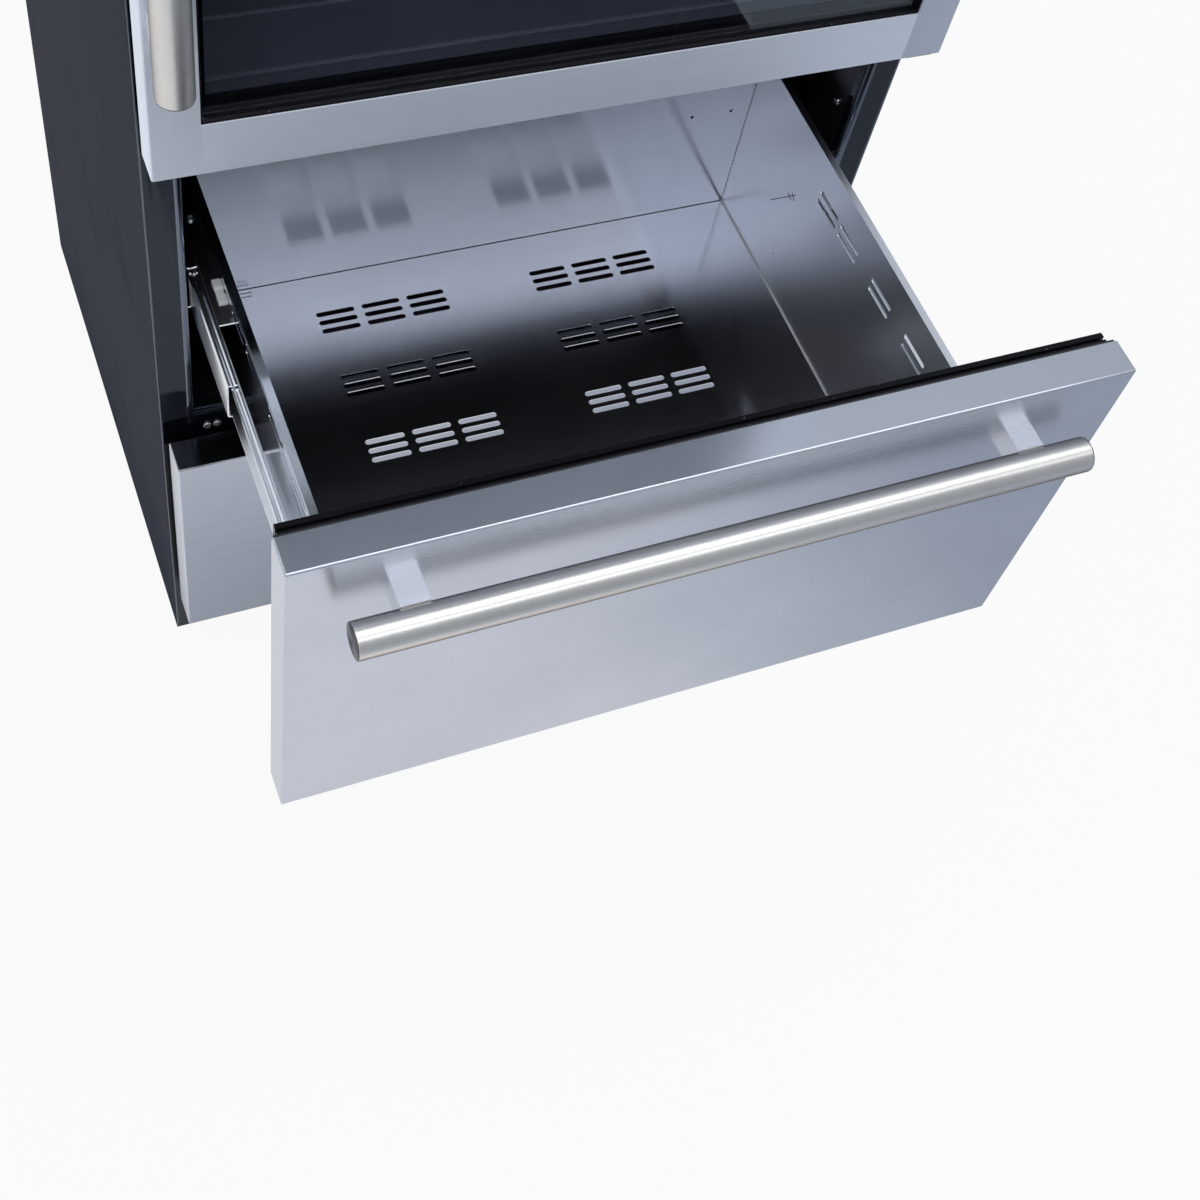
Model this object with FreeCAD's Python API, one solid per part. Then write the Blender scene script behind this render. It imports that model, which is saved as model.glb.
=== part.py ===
import FreeCAD
import Part
import os

# Tall wine and beverage cooler with a glass door above a pull-out drawer.
# Millimetres, +Z up, +Y to the back, +X to the right as seen from the front.
# Pieces are drawn with y = 0 at the cabinet's front and z = 0 at the floor, with the drawer shut,
# and are then moved so that the origin is below the middle of the whole object, its drawer pulled out.

V = FreeCAD.Vector
ALONG_X = V(1, 0, 0)
ALONG_Y = V(0, 1, 0)
ALONG_Z = V(0, 0, 1)

# Clearances and the length that cuts run past a face
overrun = 2.0
running_clearance = 0.05
hole_clearance = 0.1
seat_clearance = 0.2

# Cabinet shell
cabinet_width = 596.0
cabinet_depth = 497.0
cabinet_height = 1767.0
foot_height = 18.0
panel_sheet = 1.0

# Front frame, with a rounded bead round each opening
frame_sheet = 1.2
side_wall = 28.0
bead_width = 6.0
bead_depth = 10.0
bead_round = 4.0
sill_height = 37.0
seal_overlap = 24.0
drawer_sill_step = 18.0
upper_opening_drop = 45.0

# Drawer front, door and kick panel, which lie in one layer
front_side_margin = 0.5
front_thickness = 29.5
front_gap = 10.0
skin_sheet = 1.0
skin_round = 1.5
kick_side_inset = 3.2
kick_rise = 69.0
kick_height = 245.0
kick_back_gap = 11.0
kick_tab_width = 40.0
kick_tab_inset = 24.0
kick_tab_drop = 30.0
kick_tab_thickness = 2.0
kick_to_drawer_gap = 4.0
drawer_front_height = 316.5
drawer_to_door_gap = 9.0
door_top_drop = 3.0

# Liners and insulation
liner_sheet = 1.2
liner_back_wall = 47.0
floor_foam = 31.8

# Drawer pull in the pose that the model rests in
drawer_pull = 305.5

# Drawer front's inner panel and the bellows seals
inner_panel_thickness = 2.5
inner_panel_inset = 1.5
seal_width = 15.0
seal_free_gap = 0.5
seal_base_depth = 3.5
seal_waist_depth = 2.0
seal_waist_inset = 3.0
drawer_seal_inset = 4.5
door_seal_inset = 11.0

# Tub
tub_sheet = 1.0
tub_side_gap = 26.3
tub_rear_gap = 44.5
tub_floor_rise = 33.7
tub_wall_height = 175.6
tub_lip_width = 6.0
tub_lip_return = 6.0

# Slots in the tub floor: groups of three by three
floor_slot_length = 33.0
floor_slot_width = 4.8
floor_slot_step_x = 39.5
floor_slot_step_y = 9.0
floor_slot_rows = 3
floor_slot_columns = 3
floor_group_offset_x = 95.5
floor_group_from_back = 50.5
floor_group_step = 67.6
floor_group_rows = 3

# Slots in the tub walls: pairs near the lip
wall_slot_length = 33.5
wall_slot_width = 4.2
wall_slot_drop = 31.0
wall_slot_row_step = 9.3
wall_slot_rows = 2
wall_slot_from_back = 145.0
wall_slot_first_step = 38.5
wall_slot_step = 58.5
wall_slot_pairs = 4

# Small holes in the tub back
back_hole_radius = 1.6
back_hole_drop = 61.0
back_hole_inset = 17.7
back_hole_spacing = 37.0
back_hole_count = 2

# Telescopic slides
slide_rise = 154.0
slide_sheet = 1.2
slide_setback = 12.0
slide_rear_gap = 38.0
slide_depth = 13.2
slide_outer_height = 45.0
slide_outer_depth = 11.0
slide_outer_ball_gap = 2.8
slide_middle_shortening = 70.0
slide_middle_depth = 8.5
slide_middle_reach = 98.0
slide_web_gap = 1.8
slide_inner_shortening = 15.5
slide_inner_ball_gap = 1.8
slide_inner_depth = 7.7
slide_plate_thickness = 1.5
slide_front_plate_length = 156.0
slide_rear_plate_length = 40.0
retainer_width = 4.0
retainer_web_gap = 1.0
outer_retainer_start = 168.0
outer_retainer_length = 150.0
inner_retainer_start = 13.0
inner_retainer_length = 115.0

# Bar handles on square posts
bar_radius = 12.5
bar_end_round = 1.0
bar_standoff = 25.0
bar_flat_depth = 3.0
post_size = 20.0
drawer_bar_length = 525.0
drawer_bar_drop = 51.5
door_bar_end_margin = 95.0
door_bar_inset = 13.0
post_end_margin = 42.0

# Door frame, glass and inner frame
stile_width = 33.7
rail_height = 42.4
door_rebate = 13.7
door_lip_depth = 5.5
door_profile_wall = 1.2
door_plug_height = 16.0
glass_thickness = 4.0
glass_edge_gap = 0.5
spacer_width = 10.0
inner_frame_thickness = 4.0
inner_frame_inset = 1.5
inner_frame_border = 41.0

# Door hinges
hinge_pin_radius = 4.0
hinge_pin_length = 12.0
hinge_plate = 4.0
hinge_edge_margin = 1.5
hinge_nose = 9.0
middle_hinge_width = 22.0
middle_hinge_reach = 30.0
top_hinge_width = 48.0
top_hinge_reach = 80.0
top_hinge_screw_start = 15.0
top_hinge_screw_step = 25.0
top_hinge_screw_count = 3

# Screws
screw_head_radius = 3.5
screw_head_height = 2.4
screw_shank_radius = 1.8
screw_recess_radius = 1.2
screw_recess_depth = 1.2
sill_screw_drop = 22.0
sill_screw_inset = 10.0
sill_screw_spacing = 8.0
wall_screw_depth = 22.0
wall_screw_drop = 68.0

# Shelves and the ledges that carry them
shelf_count = 4
shelf_thickness = 16.0
shelf_front_height = 34.0
shelf_front_depth = 18.0
shelf_rail_width = 20.0
shelf_slat_width = 34.0
shelf_slat_count = 8
shelf_side_gap = 1.5
shelf_front_setback = 40.0
shelf_back_gap = 18.0
ledge_width = 12.0
ledge_thickness = 8.0

# Cold-air cover at the back of the upper compartment
cover_side_margin = 20.0
cover_depth = 42.0
cover_height = 620.0
cover_rise = 40.0
cover_sheet = 2.0
cover_slot_length = 120.0
cover_slot_width = 6.0
cover_slot_step_x = 150.0
cover_slot_step_z = 14.0
cover_slot_columns = 3
cover_slot_rows = 5
cover_low_bank_rise = 80.0
cover_high_bank_rise = 500.0

# Control panel and light bar under the upper ceiling
control_width = 300.0
control_depth = 60.0
control_height = 18.0
control_setback = 15.0
control_slope = 10.0
light_width = 400.0
light_depth = 20.0
light_height = 8.0
light_gap = 20.0

# Base pan, its vents and the levelling feet
base_sheet = 2.0
boss_radius = 11.0
boss_height = 16.0
boss_drop = 4.0
stud_radius = 5.0
stud_past_boss = 7.0
pad_radius = 20.0
pad_height = 9.0
foot_inset_x = 43.0
foot_inset_y = 46.0
vent_slot_length = 60.0
vent_slot_width = 6.0
vent_slot_step_x = 80.0
vent_slot_step_z = 16.0
vent_slot_count = 6
vent_slot_rows = 3
vent_rise = 24.0

# Rear machine cover and power inlet
rear_slot_length = 50.0
rear_slot_width = 5.0
rear_slot_step_x = 64.0
rear_slot_step_z = 14.0
rear_slot_columns = 7
rear_slot_rows = 12
rear_slot_rise = 90.0
inlet_width = 30.0
inlet_height = 22.0
inlet_depth = 24.0
inlet_flange = 8.0
inlet_flange_sheet = 2.0
inlet_recess = 15.0
inlet_wall = 3.0
inlet_pin_length = 9.0
inlet_pin_width = 2.0
inlet_pin_height = 5.0
inlet_pin_step = 7.0
inlet_pin_count = 3
inlet_offset_x = 190.0
inlet_rise = 36.0

# Compressor on its bosses
compressor_offset_x = -120.0
compressor_from_back = 140.0
compressor_radius = 74.0
compressor_rim = 4.0
compressor_rim_height = 8.0
compressor_lower_height = 80.0
compressor_upper_height = 48.0
compressor_dome_height = 34.0
compressor_dome_radius = 50.0
compressor_plate = 3.0
compressor_plate_width = 200.0
compressor_plate_depth = 150.0
compressor_boss_height = 14.0
compressor_boss_radius = 9.0
compressor_boss_inset = 14.0

# Condenser coil
coil_tube_radius = 3.0
coil_bend_radius = 12.0
coil_runs = 10
coil_run_length = 250.0
coil_start_x = 5.0
coil_from_front = 190.0

# Condenser fan
fan_size = 120.0
fan_depth = 38.0
fan_bore_radius = 57.0
fan_hub_radius = 20.0
fan_hub_depth = 12.0
fan_spoke_width = 6.0
fan_spoke_count = 4
fan_shaft_radius = 3.0
fan_rotor_gap = 1.0
fan_rotor_depth = 20.0
fan_blade_count = 7
fan_blade_tip_gap = 2.0
fan_blade_chord = 30.0
fan_blade_thickness = 2.0
fan_blade_pitch_degrees = 35.0
fan_offset_x = 130.0
fan_from_front = 250.0

# Places worked out from the sizes above
half_cabinet = cabinet_width / 2
half_inside = half_cabinet - panel_sheet
half_opening = half_cabinet - side_wall
half_front = half_cabinet - front_side_margin
half_kick = half_front - kick_side_inset
base_z = foot_height
top_z = base_z + cabinet_height
back_y = cabinet_depth
back_inside_y = back_y - panel_sheet
front_back_y = -front_gap
front_face_y = front_back_y - front_thickness
kick_bottom_z = base_z + kick_rise
kick_top_z = kick_bottom_z + kick_height
drawer_bottom_z = kick_top_z + kick_to_drawer_gap
drawer_top_z = drawer_bottom_z + drawer_front_height
door_bottom_z = drawer_top_z + drawer_to_door_gap
door_top_z = top_z - door_top_drop
drawer_opening_bottom_z = drawer_bottom_z + drawer_sill_step
drawer_opening_top_z = drawer_top_z - seal_overlap
upper_opening_bottom_z = door_bottom_z + seal_overlap
upper_opening_top_z = top_z - upper_opening_drop
frame_bottom_z = drawer_opening_bottom_z - sill_height
foam_bottom_z = drawer_opening_bottom_z - liner_sheet - floor_foam
liner_back_y = back_y - liner_back_wall
tub_floor_z = drawer_bottom_z + tub_floor_rise
tub_top_z = tub_floor_z + tub_wall_height
tub_back_y = liner_back_y - tub_rear_gap
half_tub = half_opening - tub_side_gap
bar_y = front_face_y - bar_standoff
bar_flat_y = bar_y + bar_radius - bar_flat_depth
drawer_bar_z = drawer_top_z - drawer_bar_drop
door_bar_x = -half_front + door_bar_inset
slide_z = drawer_bottom_z + slide_rise
slide_outer_length = liner_back_y - slide_setback - slide_rear_gap
slide_middle_length = slide_outer_length - slide_middle_shortening
slide_inner_length = tub_back_y - front_back_y - slide_inner_shortening
slide_middle_height = slide_outer_height - 2 * (slide_sheet + slide_outer_ball_gap)
slide_inner_height = slide_middle_height - 2 * (slide_sheet + slide_inner_ball_gap)
cover_front_y = liner_back_y - cover_depth
shelf_back_y = cover_front_y - shelf_back_gap
door_profile_back_y = front_back_y - inner_frame_thickness
door_lip_back_y = front_face_y + door_lip_depth
stile_back_width = stile_width - door_rebate
rail_back_height = rail_height - door_rebate
hinge_x = half_front - stile_back_width / 2
hinge_y = (front_face_y + front_back_y) / 2
base_top_z = base_z + base_sheet
middle_y = (bar_y - bar_radius - drawer_pull + back_y) / 2


# Shapes that several pieces use

def block(x0, x1, y0, y1, z0, z1):
    """Box between two corners."""
    return Part.makeBox(x1 - x0, y1 - y0, z1 - z0, V(x0, y0, z0))


def tube_y(x, z, radius, y0, y1):
    """Round bar along y."""
    return Part.makeCylinder(radius, y1 - y0, V(x, y0, z), ALONG_Y)


def tube_z(x, y, radius, z0, z1):
    """Round bar along z."""
    return Part.makeCylinder(radius, z1 - z0, V(x, y, z0), ALONG_Z)


def ring(half_x, y0, y1, z0, z1, width):
    """Flat rectangular ring facing the front, with its outer edges given."""
    outer = block(-half_x, half_x, y0, y1, z0, z1)
    hole = block(-half_x + width, half_x - width, y0 - overrun, y1 + overrun, z0 + width, z1 - width)
    return outer.cut(hole)


def slot_x(x, y, z, length, width, depth, normal):
    """Round-ended cutter, long along x, cutting along the normal from its middle plane."""
    straight = length - width
    radius = width / 2
    if normal == ALONG_Z:
        bar = block(x - straight / 2, x + straight / 2, y - radius, y + radius, z - depth, z + depth)
    else:
        bar = block(x - straight / 2, x + straight / 2, y - depth, y + depth, z - radius, z + radius)
    for side in (-1, 1):
        centre = V(x + side * straight / 2, y, z) - normal * depth
        bar = bar.fuse(Part.makeCylinder(radius, 2 * depth, centre, normal))
    return bar


def round_edges(shape, radius, wanted):
    """Fillet the straight edges that the test picks by their middle point and direction."""
    picked = []
    for edge in shape.Edges:
        first = edge.Vertexes[0].Point
        last = edge.Vertexes[-1].Point
        if wanted((first + last) * 0.5, last - first):
            picked.append(edge)
    return shape.makeFillet(radius, picked)


def pan(half_x, y0, y1, z0, z1, sheet, corner_round):
    """Folded sheet pan, open at the back, with its front edges and corners rounded."""
    outer = block(-half_x, half_x, y0, y1, z0, z1)

    def on_front_or_corner(middle, direction):
        on_front = abs(middle.y - y0) < corner_round
        return on_front or abs(direction.y) > corner_round

    outer = round_edges(outer, corner_round, on_front_or_corner)
    hollow = block(-half_x + sheet, half_x - sheet, y0 + sheet, y1 + overrun, z0 + sheet, z1 - sheet)
    return outer.cut(hollow)


def spread(count, step):
    """Places of a row of equal steps, centred on zero."""
    return [(index - (count - 1) / 2) * step for index in range(count)]


def mirrored(shape):
    """The right-hand copy of a left-hand piece."""
    return shape.mirror(V(0, 0, 0), ALONG_X)


def pulled(shape, travel):
    """The piece moved out of the cabinet with the drawer."""
    moved = shape.copy()
    moved.translate(V(0, -travel, 0))
    return moved


def save(name, shape):
    """Write one piece in the object's own frame."""
    placed = shape.copy()
    placed.translate(V(0, -middle_y, 0))
    placed.exportStep("parts/" + name + ".step")


# Cabinet shell

def side_panel():
    return block(-half_cabinet, -half_inside, 0, back_y, base_z, top_z)


def top_cover():
    cover = block(-half_inside, half_inside, frame_sheet, back_inside_y, top_z - panel_sheet, top_z)
    for x, y in top_screw_places():
        hole = screw_shank_radius + hole_clearance
        cover = cover.cut(tube_z(x, y, hole, top_z - panel_sheet - overrun, top_z + overrun))
    return cover


def back_panel():
    return block(-half_inside, half_inside, back_inside_y, back_y, foam_bottom_z, top_z)


def opening_spans():
    """Bottom and top of the drawer opening and of the upper opening."""
    return (
        (drawer_opening_bottom_z, drawer_opening_top_z),
        (upper_opening_bottom_z, upper_opening_top_z),
    )


def bead(z0, z1):
    """Thick edge round an opening, rounded where the front meets the opening."""
    outer_half = half_opening + bead_width
    edge = ring(outer_half, 0, bead_depth, z0 - bead_width, z1 + bead_width, bead_width)

    def inner_front(middle, direction):
        inside_x = abs(middle.x) < half_opening + bead_width / 2
        inside_z = z0 - bead_width / 2 < middle.z < z1 + bead_width / 2
        return abs(middle.y) < bead_width / 2 and inside_x and inside_z

    return round_edges(edge, bead_round, inner_front)


def hinge_slot(clearance):
    """Room for the middle hinge tongue behind the front frame."""
    x1 = half_inside - hinge_edge_margin
    z0, z1 = tongue_span()
    return block(
        x1 - middle_hinge_width - clearance, x1 + clearance,
        -overrun, middle_hinge_reach + clearance, z0 - clearance, z1 + clearance,
    )


def tongue_span():
    """Bottom and top of the middle hinge tongue, half way between drawer front and door."""
    middle = (drawer_top_z + door_bottom_z) / 2
    return middle - hinge_plate / 2, middle + hinge_plate / 2


def front_frame():
    plate = block(-half_inside, half_inside, 0, frame_sheet, frame_bottom_z, top_z - panel_sheet)
    for z0, z1 in opening_spans():
        outer_half = half_opening + bead_width
        plate = plate.cut(block(
            -outer_half, outer_half, -overrun, frame_sheet + overrun, z0 - bead_width, z1 + bead_width))
        plate = plate.fuse(bead(z0, z1))
    plate = plate.cut(hinge_slot(seat_clearance))
    hole = screw_shank_radius + hole_clearance
    for x, z in sill_screws():
        plate = plate.cut(tube_y(x, z, hole, -overrun, frame_sheet + overrun))
    return plate.removeSplitter()


def insulation():
    foam = block(-half_inside, half_inside, frame_sheet, back_inside_y, foam_bottom_z, top_z - panel_sheet)
    foam = foam.cut(hinge_slot(seat_clearance))
    for z0, z1 in opening_spans():
        edge_half = half_opening + bead_width
        foam = foam.cut(block(-edge_half, edge_half, 0, bead_depth, z0 - bead_width, z1 + bead_width))
        wall_half = half_opening + liner_sheet
        foam = foam.cut(block(
            -wall_half, wall_half, 0, liner_back_y + liner_sheet, z0 - liner_sheet, z1 + liner_sheet))
    return foam


def liner_box(z0, z1):
    """Thin box, open at the front."""
    half = half_opening + liner_sheet
    box = block(-half, half, bead_depth, liner_back_y + liner_sheet, z0 - liner_sheet, z1 + liner_sheet)
    return box.cut(block(-half_opening, half_opening, 0, liner_back_y, z0, z1))


def drawer_liner():
    liner = liner_box(drawer_opening_bottom_z, drawer_opening_top_z)
    hole = screw_shank_radius + hole_clearance
    through = half_opening + liner_sheet + overrun
    cutter = Part.makeCylinder(hole, 2 * through, V(-through, wall_screw_depth, wall_screw_z()), ALONG_X)
    return liner.cut(cutter)


def shelf_heights():
    """Underside of each shelf, at equal steps up the upper compartment."""
    step = (upper_opening_top_z - upper_opening_bottom_z) / (shelf_count + 1)
    return [upper_opening_bottom_z + step * (index + 1) for index in range(shelf_count)]


def upper_liner():
    liner = liner_box(upper_opening_bottom_z, upper_opening_top_z)
    y0 = shelf_front_setback + shelf_front_depth
    y1 = shelf_back_y
    for z in shelf_heights():
        left = block(-half_opening, -half_opening + ledge_width, y0, y1, z - ledge_thickness, z)
        liner = liner.fuse(left).fuse(mirrored(left))
    return liner.removeSplitter()


def kick_panel():
    half = half_kick
    panel = pan(half, front_face_y, -kick_back_gap, kick_bottom_z, kick_top_z, skin_sheet, skin_round)
    tab_top = kick_top_z - kick_tab_drop
    for side in (-1, 1):
        inner = side * (half - kick_tab_inset - kick_tab_width)
        outer = side * (half - kick_tab_inset)
        tab = block(
            min(inner, outer), max(inner, outer), front_face_y + skin_sheet, 0,
            tab_top - kick_tab_thickness, tab_top)
        panel = panel.fuse(tab)
    return panel


def foot_places():
    """Centres of the levelling feet, named by corner."""
    x = half_cabinet - foot_inset_x
    return {
        "foot_front_left": (-x, foot_inset_y),
        "foot_front_right": (x, foot_inset_y),
        "foot_rear_left": (-x, back_y - foot_inset_y),
        "foot_rear_right": (x, back_y - foot_inset_y),
    }


def base_pan():
    pan_floor = block(-half_inside, half_inside, 0, back_inside_y, base_z, base_top_z)
    front = block(-half_inside, half_inside, 0, frame_sheet, base_z, frame_bottom_z)
    base = pan_floor.fuse(front)
    for row in range(vent_slot_rows):
        z = base_z + vent_rise + row * vent_slot_step_z
        for x in spread(vent_slot_count, vent_slot_step_x):
            base = base.cut(slot_x(x, 0, z, vent_slot_length, vent_slot_width, overrun, ALONG_Y))
    for x, y in foot_places().values():
        z0 = base_z - boss_drop
        base = base.fuse(tube_z(x, y, boss_radius, z0, z0 + boss_height))
        bore = stud_radius + running_clearance
        base = base.cut(tube_z(x, y, bore, z0 - overrun, z0 + boss_height + overrun))
    for x, y in compressor_boss_places():
        top = base_top_z + compressor_boss_height
        base = base.fuse(tube_z(x, y, compressor_boss_radius, base_top_z, top))
    return base.removeSplitter()


def levelling_foot(x, y):
    pad = tube_z(x, y, pad_radius, 0, pad_height)
    stud_top = base_z - boss_drop + boss_height + stud_past_boss
    stud = tube_z(x, y, stud_radius, pad_height, stud_top)
    return pad.fuse(stud).removeSplitter()


# Machine compartment

def compressor_boss_places():
    """Corners of the compressor's foot plate that stand on the base pan."""
    centre_y = back_y - compressor_from_back
    dx = compressor_plate_width / 2 - compressor_boss_inset
    dy = compressor_plate_depth / 2 - compressor_boss_inset
    return [(compressor_offset_x + i * dx, centre_y + j * dy) for i in (-1, 1) for j in (-1, 1)]


def compressor():
    centre_y = back_y - compressor_from_back
    plate_z = base_top_z + compressor_boss_height
    plate = block(
        compressor_offset_x - compressor_plate_width / 2, compressor_offset_x + compressor_plate_width / 2,
        centre_y - compressor_plate_depth / 2, centre_y + compressor_plate_depth / 2,
        plate_z, plate_z + compressor_plate)
    lower_z = plate_z + compressor_plate
    rim_z = lower_z + compressor_lower_height
    upper_z = rim_z + compressor_rim_height
    dome_z = upper_z + compressor_upper_height

    def disc(radius, z0, z1):
        return tube_z(compressor_offset_x, centre_y, radius, z0, z1)

    dome = Part.makeCone(
        compressor_radius, compressor_dome_radius, compressor_dome_height,
        V(compressor_offset_x, centre_y, dome_z), ALONG_Z)
    shell = disc(compressor_radius, lower_z, rim_z)
    shell = shell.fuse(disc(compressor_radius + compressor_rim, rim_z, upper_z))
    shell = shell.fuse(disc(compressor_radius, upper_z, dome_z)).fuse(dome)
    return shell.fuse(plate).removeSplitter()


def condenser_coil():
    """One unbroken serpentine tube that stands on the base pan."""
    y = coil_from_front
    x0 = coil_start_x
    x1 = coil_start_x + coil_run_length
    z = base_top_z + coil_tube_radius + seat_clearance
    edges = []
    for run in range(coil_runs):
        rightward = run % 2 == 0
        start_x, end_x = (x0, x1) if rightward else (x1, x0)
        edges.append(Part.LineSegment(V(start_x, y, z), V(end_x, y, z)).toShape())
        if run < coil_runs - 1:
            bulge = coil_bend_radius if rightward else -coil_bend_radius
            next_z = z + 2 * coil_bend_radius
            middle = V(end_x + bulge, y, z + coil_bend_radius)
            edges.append(Part.Arc(V(end_x, y, z), middle, V(end_x, y, next_z)).toShape())
            z = next_z
    path = Part.Wire(edges)
    start_z = base_top_z + coil_tube_radius + seat_clearance
    section = Part.Wire(Part.makeCircle(coil_tube_radius, V(x0, y, start_z), ALONG_X))
    return path.makePipeShell([section], True, False)


def fan_centre_z():
    return base_top_z + fan_size / 2


def condenser_fan_frame():
    z = fan_centre_z()
    y0 = fan_from_front
    y1 = fan_from_front + fan_depth
    half = fan_size / 2
    frame = block(fan_offset_x - half, fan_offset_x + half, y0, y1, base_top_z, base_top_z + fan_size)
    frame = frame.cut(tube_y(fan_offset_x, z, fan_bore_radius, y0 - overrun, y1 + overrun))
    hub = tube_y(fan_offset_x, z, fan_hub_radius, y1 - fan_hub_depth, y1)
    frame = frame.fuse(hub)
    for index in range(fan_spoke_count):
        spoke = block(
            fan_offset_x, fan_offset_x + fan_bore_radius + overrun, y1 - fan_hub_depth / 2, y1,
            z - fan_spoke_width / 2, z + fan_spoke_width / 2)
        spoke.rotate(V(fan_offset_x, y1, z), ALONG_Y, 45 + 360 * index / fan_spoke_count)
        frame = frame.fuse(spoke)
    bore = fan_shaft_radius + running_clearance
    frame = frame.cut(tube_y(fan_offset_x, z, bore, y1 - fan_hub_depth - overrun, y1 + overrun))
    return frame.removeSplitter()


def condenser_fan_rotor():
    z = fan_centre_z()
    y1 = fan_from_front + fan_depth - fan_hub_depth - fan_rotor_gap
    y0 = y1 - fan_rotor_depth
    rotor = tube_y(fan_offset_x, z, fan_hub_radius, y0, y1)
    rotor = rotor.fuse(tube_y(fan_offset_x, z, fan_shaft_radius, y1, fan_from_front + fan_depth))
    blade_end = fan_bore_radius - fan_blade_tip_gap
    middle_y0 = (y0 + y1) / 2
    for index in range(fan_blade_count):
        half_chord = fan_blade_chord / 2
        half_blade = fan_blade_thickness / 2
        blade = block(
            fan_offset_x + fan_hub_radius / 2, fan_offset_x + blade_end - half_chord * half_chord / blade_end,
            middle_y0 - half_blade, middle_y0 + half_blade, z - half_chord, z + half_chord)
        centre = V(fan_offset_x, middle_y0, z)
        blade.rotate(centre, ALONG_X, fan_blade_pitch_degrees)
        blade.rotate(centre, ALONG_Y, 360 * index / fan_blade_count)
        rotor = rotor.fuse(blade)
    swept = tube_y(fan_offset_x, z, blade_end, y0, fan_from_front + fan_depth)
    return rotor.common(swept).removeSplitter()


def inlet_span():
    """Left, right, bottom and top of the power inlet's socket."""
    z0 = base_top_z + inlet_rise
    return inlet_offset_x, inlet_offset_x + inlet_width, z0, z0 + inlet_height


def rear_machine_cover():
    cover = block(-half_inside, half_inside, back_inside_y, back_y, base_z, foam_bottom_z)
    for row in range(rear_slot_rows):
        z = base_top_z + rear_slot_rise + row * rear_slot_step_z
        for x in spread(rear_slot_columns, rear_slot_step_x):
            cover = cover.cut(slot_x(x, back_y, z, rear_slot_length, rear_slot_width, overrun, ALONG_Y))
    x0, x1, z0, z1 = inlet_span()
    return cover.cut(block(
        x0 - hole_clearance, x1 + hole_clearance, back_inside_y - overrun, back_y + overrun,
        z0 - hole_clearance, z1 + hole_clearance))


def power_inlet():
    x0, x1, z0, z1 = inlet_span()
    body = block(x0, x1, back_y - inlet_depth, back_y, z0, z1)
    flange = block(
        x0 - inlet_flange, x1 + inlet_flange, back_inside_y - inlet_flange_sheet, back_inside_y,
        z0 - inlet_flange, z1 + inlet_flange)
    recess = block(
        x0 + inlet_wall, x1 - inlet_wall, back_y - inlet_recess, back_y + overrun,
        z0 + inlet_wall, z1 - inlet_wall)
    socket = body.fuse(flange).cut(recess)
    centre_x = (x0 + x1) / 2
    centre_z = (z0 + z1) / 2
    for dx in spread(inlet_pin_count, inlet_pin_step):
        pin = block(
            centre_x + dx - inlet_pin_width / 2, centre_x + dx + inlet_pin_width / 2,
            back_y - inlet_recess, back_y - inlet_recess + inlet_pin_length,
            centre_z - inlet_pin_height / 2, centre_z + inlet_pin_height / 2)
        socket = socket.fuse(pin)
    return socket.removeSplitter()


# Fittings of the upper compartment

def shelf(z):
    """Slatted shelf that lies on its two ledges, with a taller front board."""
    half = half_opening - shelf_side_gap
    y0 = shelf_front_setback
    y1 = shelf_back_y
    top = z + shelf_thickness
    board = block(-half, half, y0, y0 + shelf_front_depth, top - shelf_front_height, top)
    tray = board.fuse(block(-half, half, y1 - shelf_rail_width, y1, z, top))
    for side in (-1, 1):
        rail_x = (half - shelf_rail_width / 2) * side
        tray = tray.fuse(block(
            rail_x - shelf_rail_width / 2, rail_x + shelf_rail_width / 2, y0 + shelf_front_depth, y1, z, top))
    step = (2 * half - 2 * shelf_rail_width) / shelf_slat_count
    for x in spread(shelf_slat_count, step):
        tray = tray.fuse(block(
            x - shelf_slat_width / 2, x + shelf_slat_width / 2, y0 + shelf_front_depth, y1, z, top))
    return tray.removeSplitter()


def cold_air_cover():
    half = half_opening - cover_side_margin
    z0 = upper_opening_bottom_z + cover_rise
    z1 = z0 + cover_height
    y0 = cover_front_y
    cover = block(-half, half, y0, liner_back_y, z0, z1)
    cover = cover.cut(block(
        -half + cover_sheet, half - cover_sheet, y0 + cover_sheet, liner_back_y + overrun,
        z0 + cover_sheet, z1 - cover_sheet))
    for rise in (cover_low_bank_rise, cover_high_bank_rise):
        for row in range(cover_slot_rows):
            z = z0 + rise + row * cover_slot_step_z
            for x in spread(cover_slot_columns, cover_slot_step_x):
                cover = cover.cut(slot_x(
                    x, y0, z, cover_slot_length, cover_slot_width, cover_sheet + overrun, ALONG_Y))
    return cover


def control_panel():
    z1 = upper_opening_top_z
    z0 = z1 - control_height
    y0 = control_setback
    y1 = y0 + control_depth
    outline = [V(0, y0, z1), V(0, y0 + control_slope, z0), V(0, y1, z0), V(0, y1, z1), V(0, y0, z1)]
    face = Part.Face(Part.makePolygon(outline))
    panel = face.extrude(V(control_width, 0, 0))
    panel.translate(V(-control_width / 2, 0, 0))
    return panel


def light_bar():
    y0 = control_setback + control_depth + light_gap
    return block(
        -light_width / 2, light_width / 2, y0, y0 + light_depth,
        upper_opening_top_z - light_height, upper_opening_top_z)


# Hinges and screws

def top_hinge_x():
    """Left edge of the top hinge plate."""
    return half_inside - hinge_edge_margin - top_hinge_width


def top_hinge_bracket():
    x0 = top_hinge_x()
    plate = block(
        x0, x0 + top_hinge_width, hinge_y - hinge_nose, top_hinge_reach, top_z, top_z + hinge_plate)
    pin = tube_z(hinge_x, hinge_y, hinge_pin_radius, door_top_z - hinge_pin_length, top_z)
    bracket = plate.fuse(pin)
    for x, y in top_screw_places():
        hole = screw_shank_radius + hole_clearance
        bracket = bracket.cut(tube_z(x, y, hole, top_z - overrun, top_z + hinge_plate + overrun))
    return bracket.removeSplitter()


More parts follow.
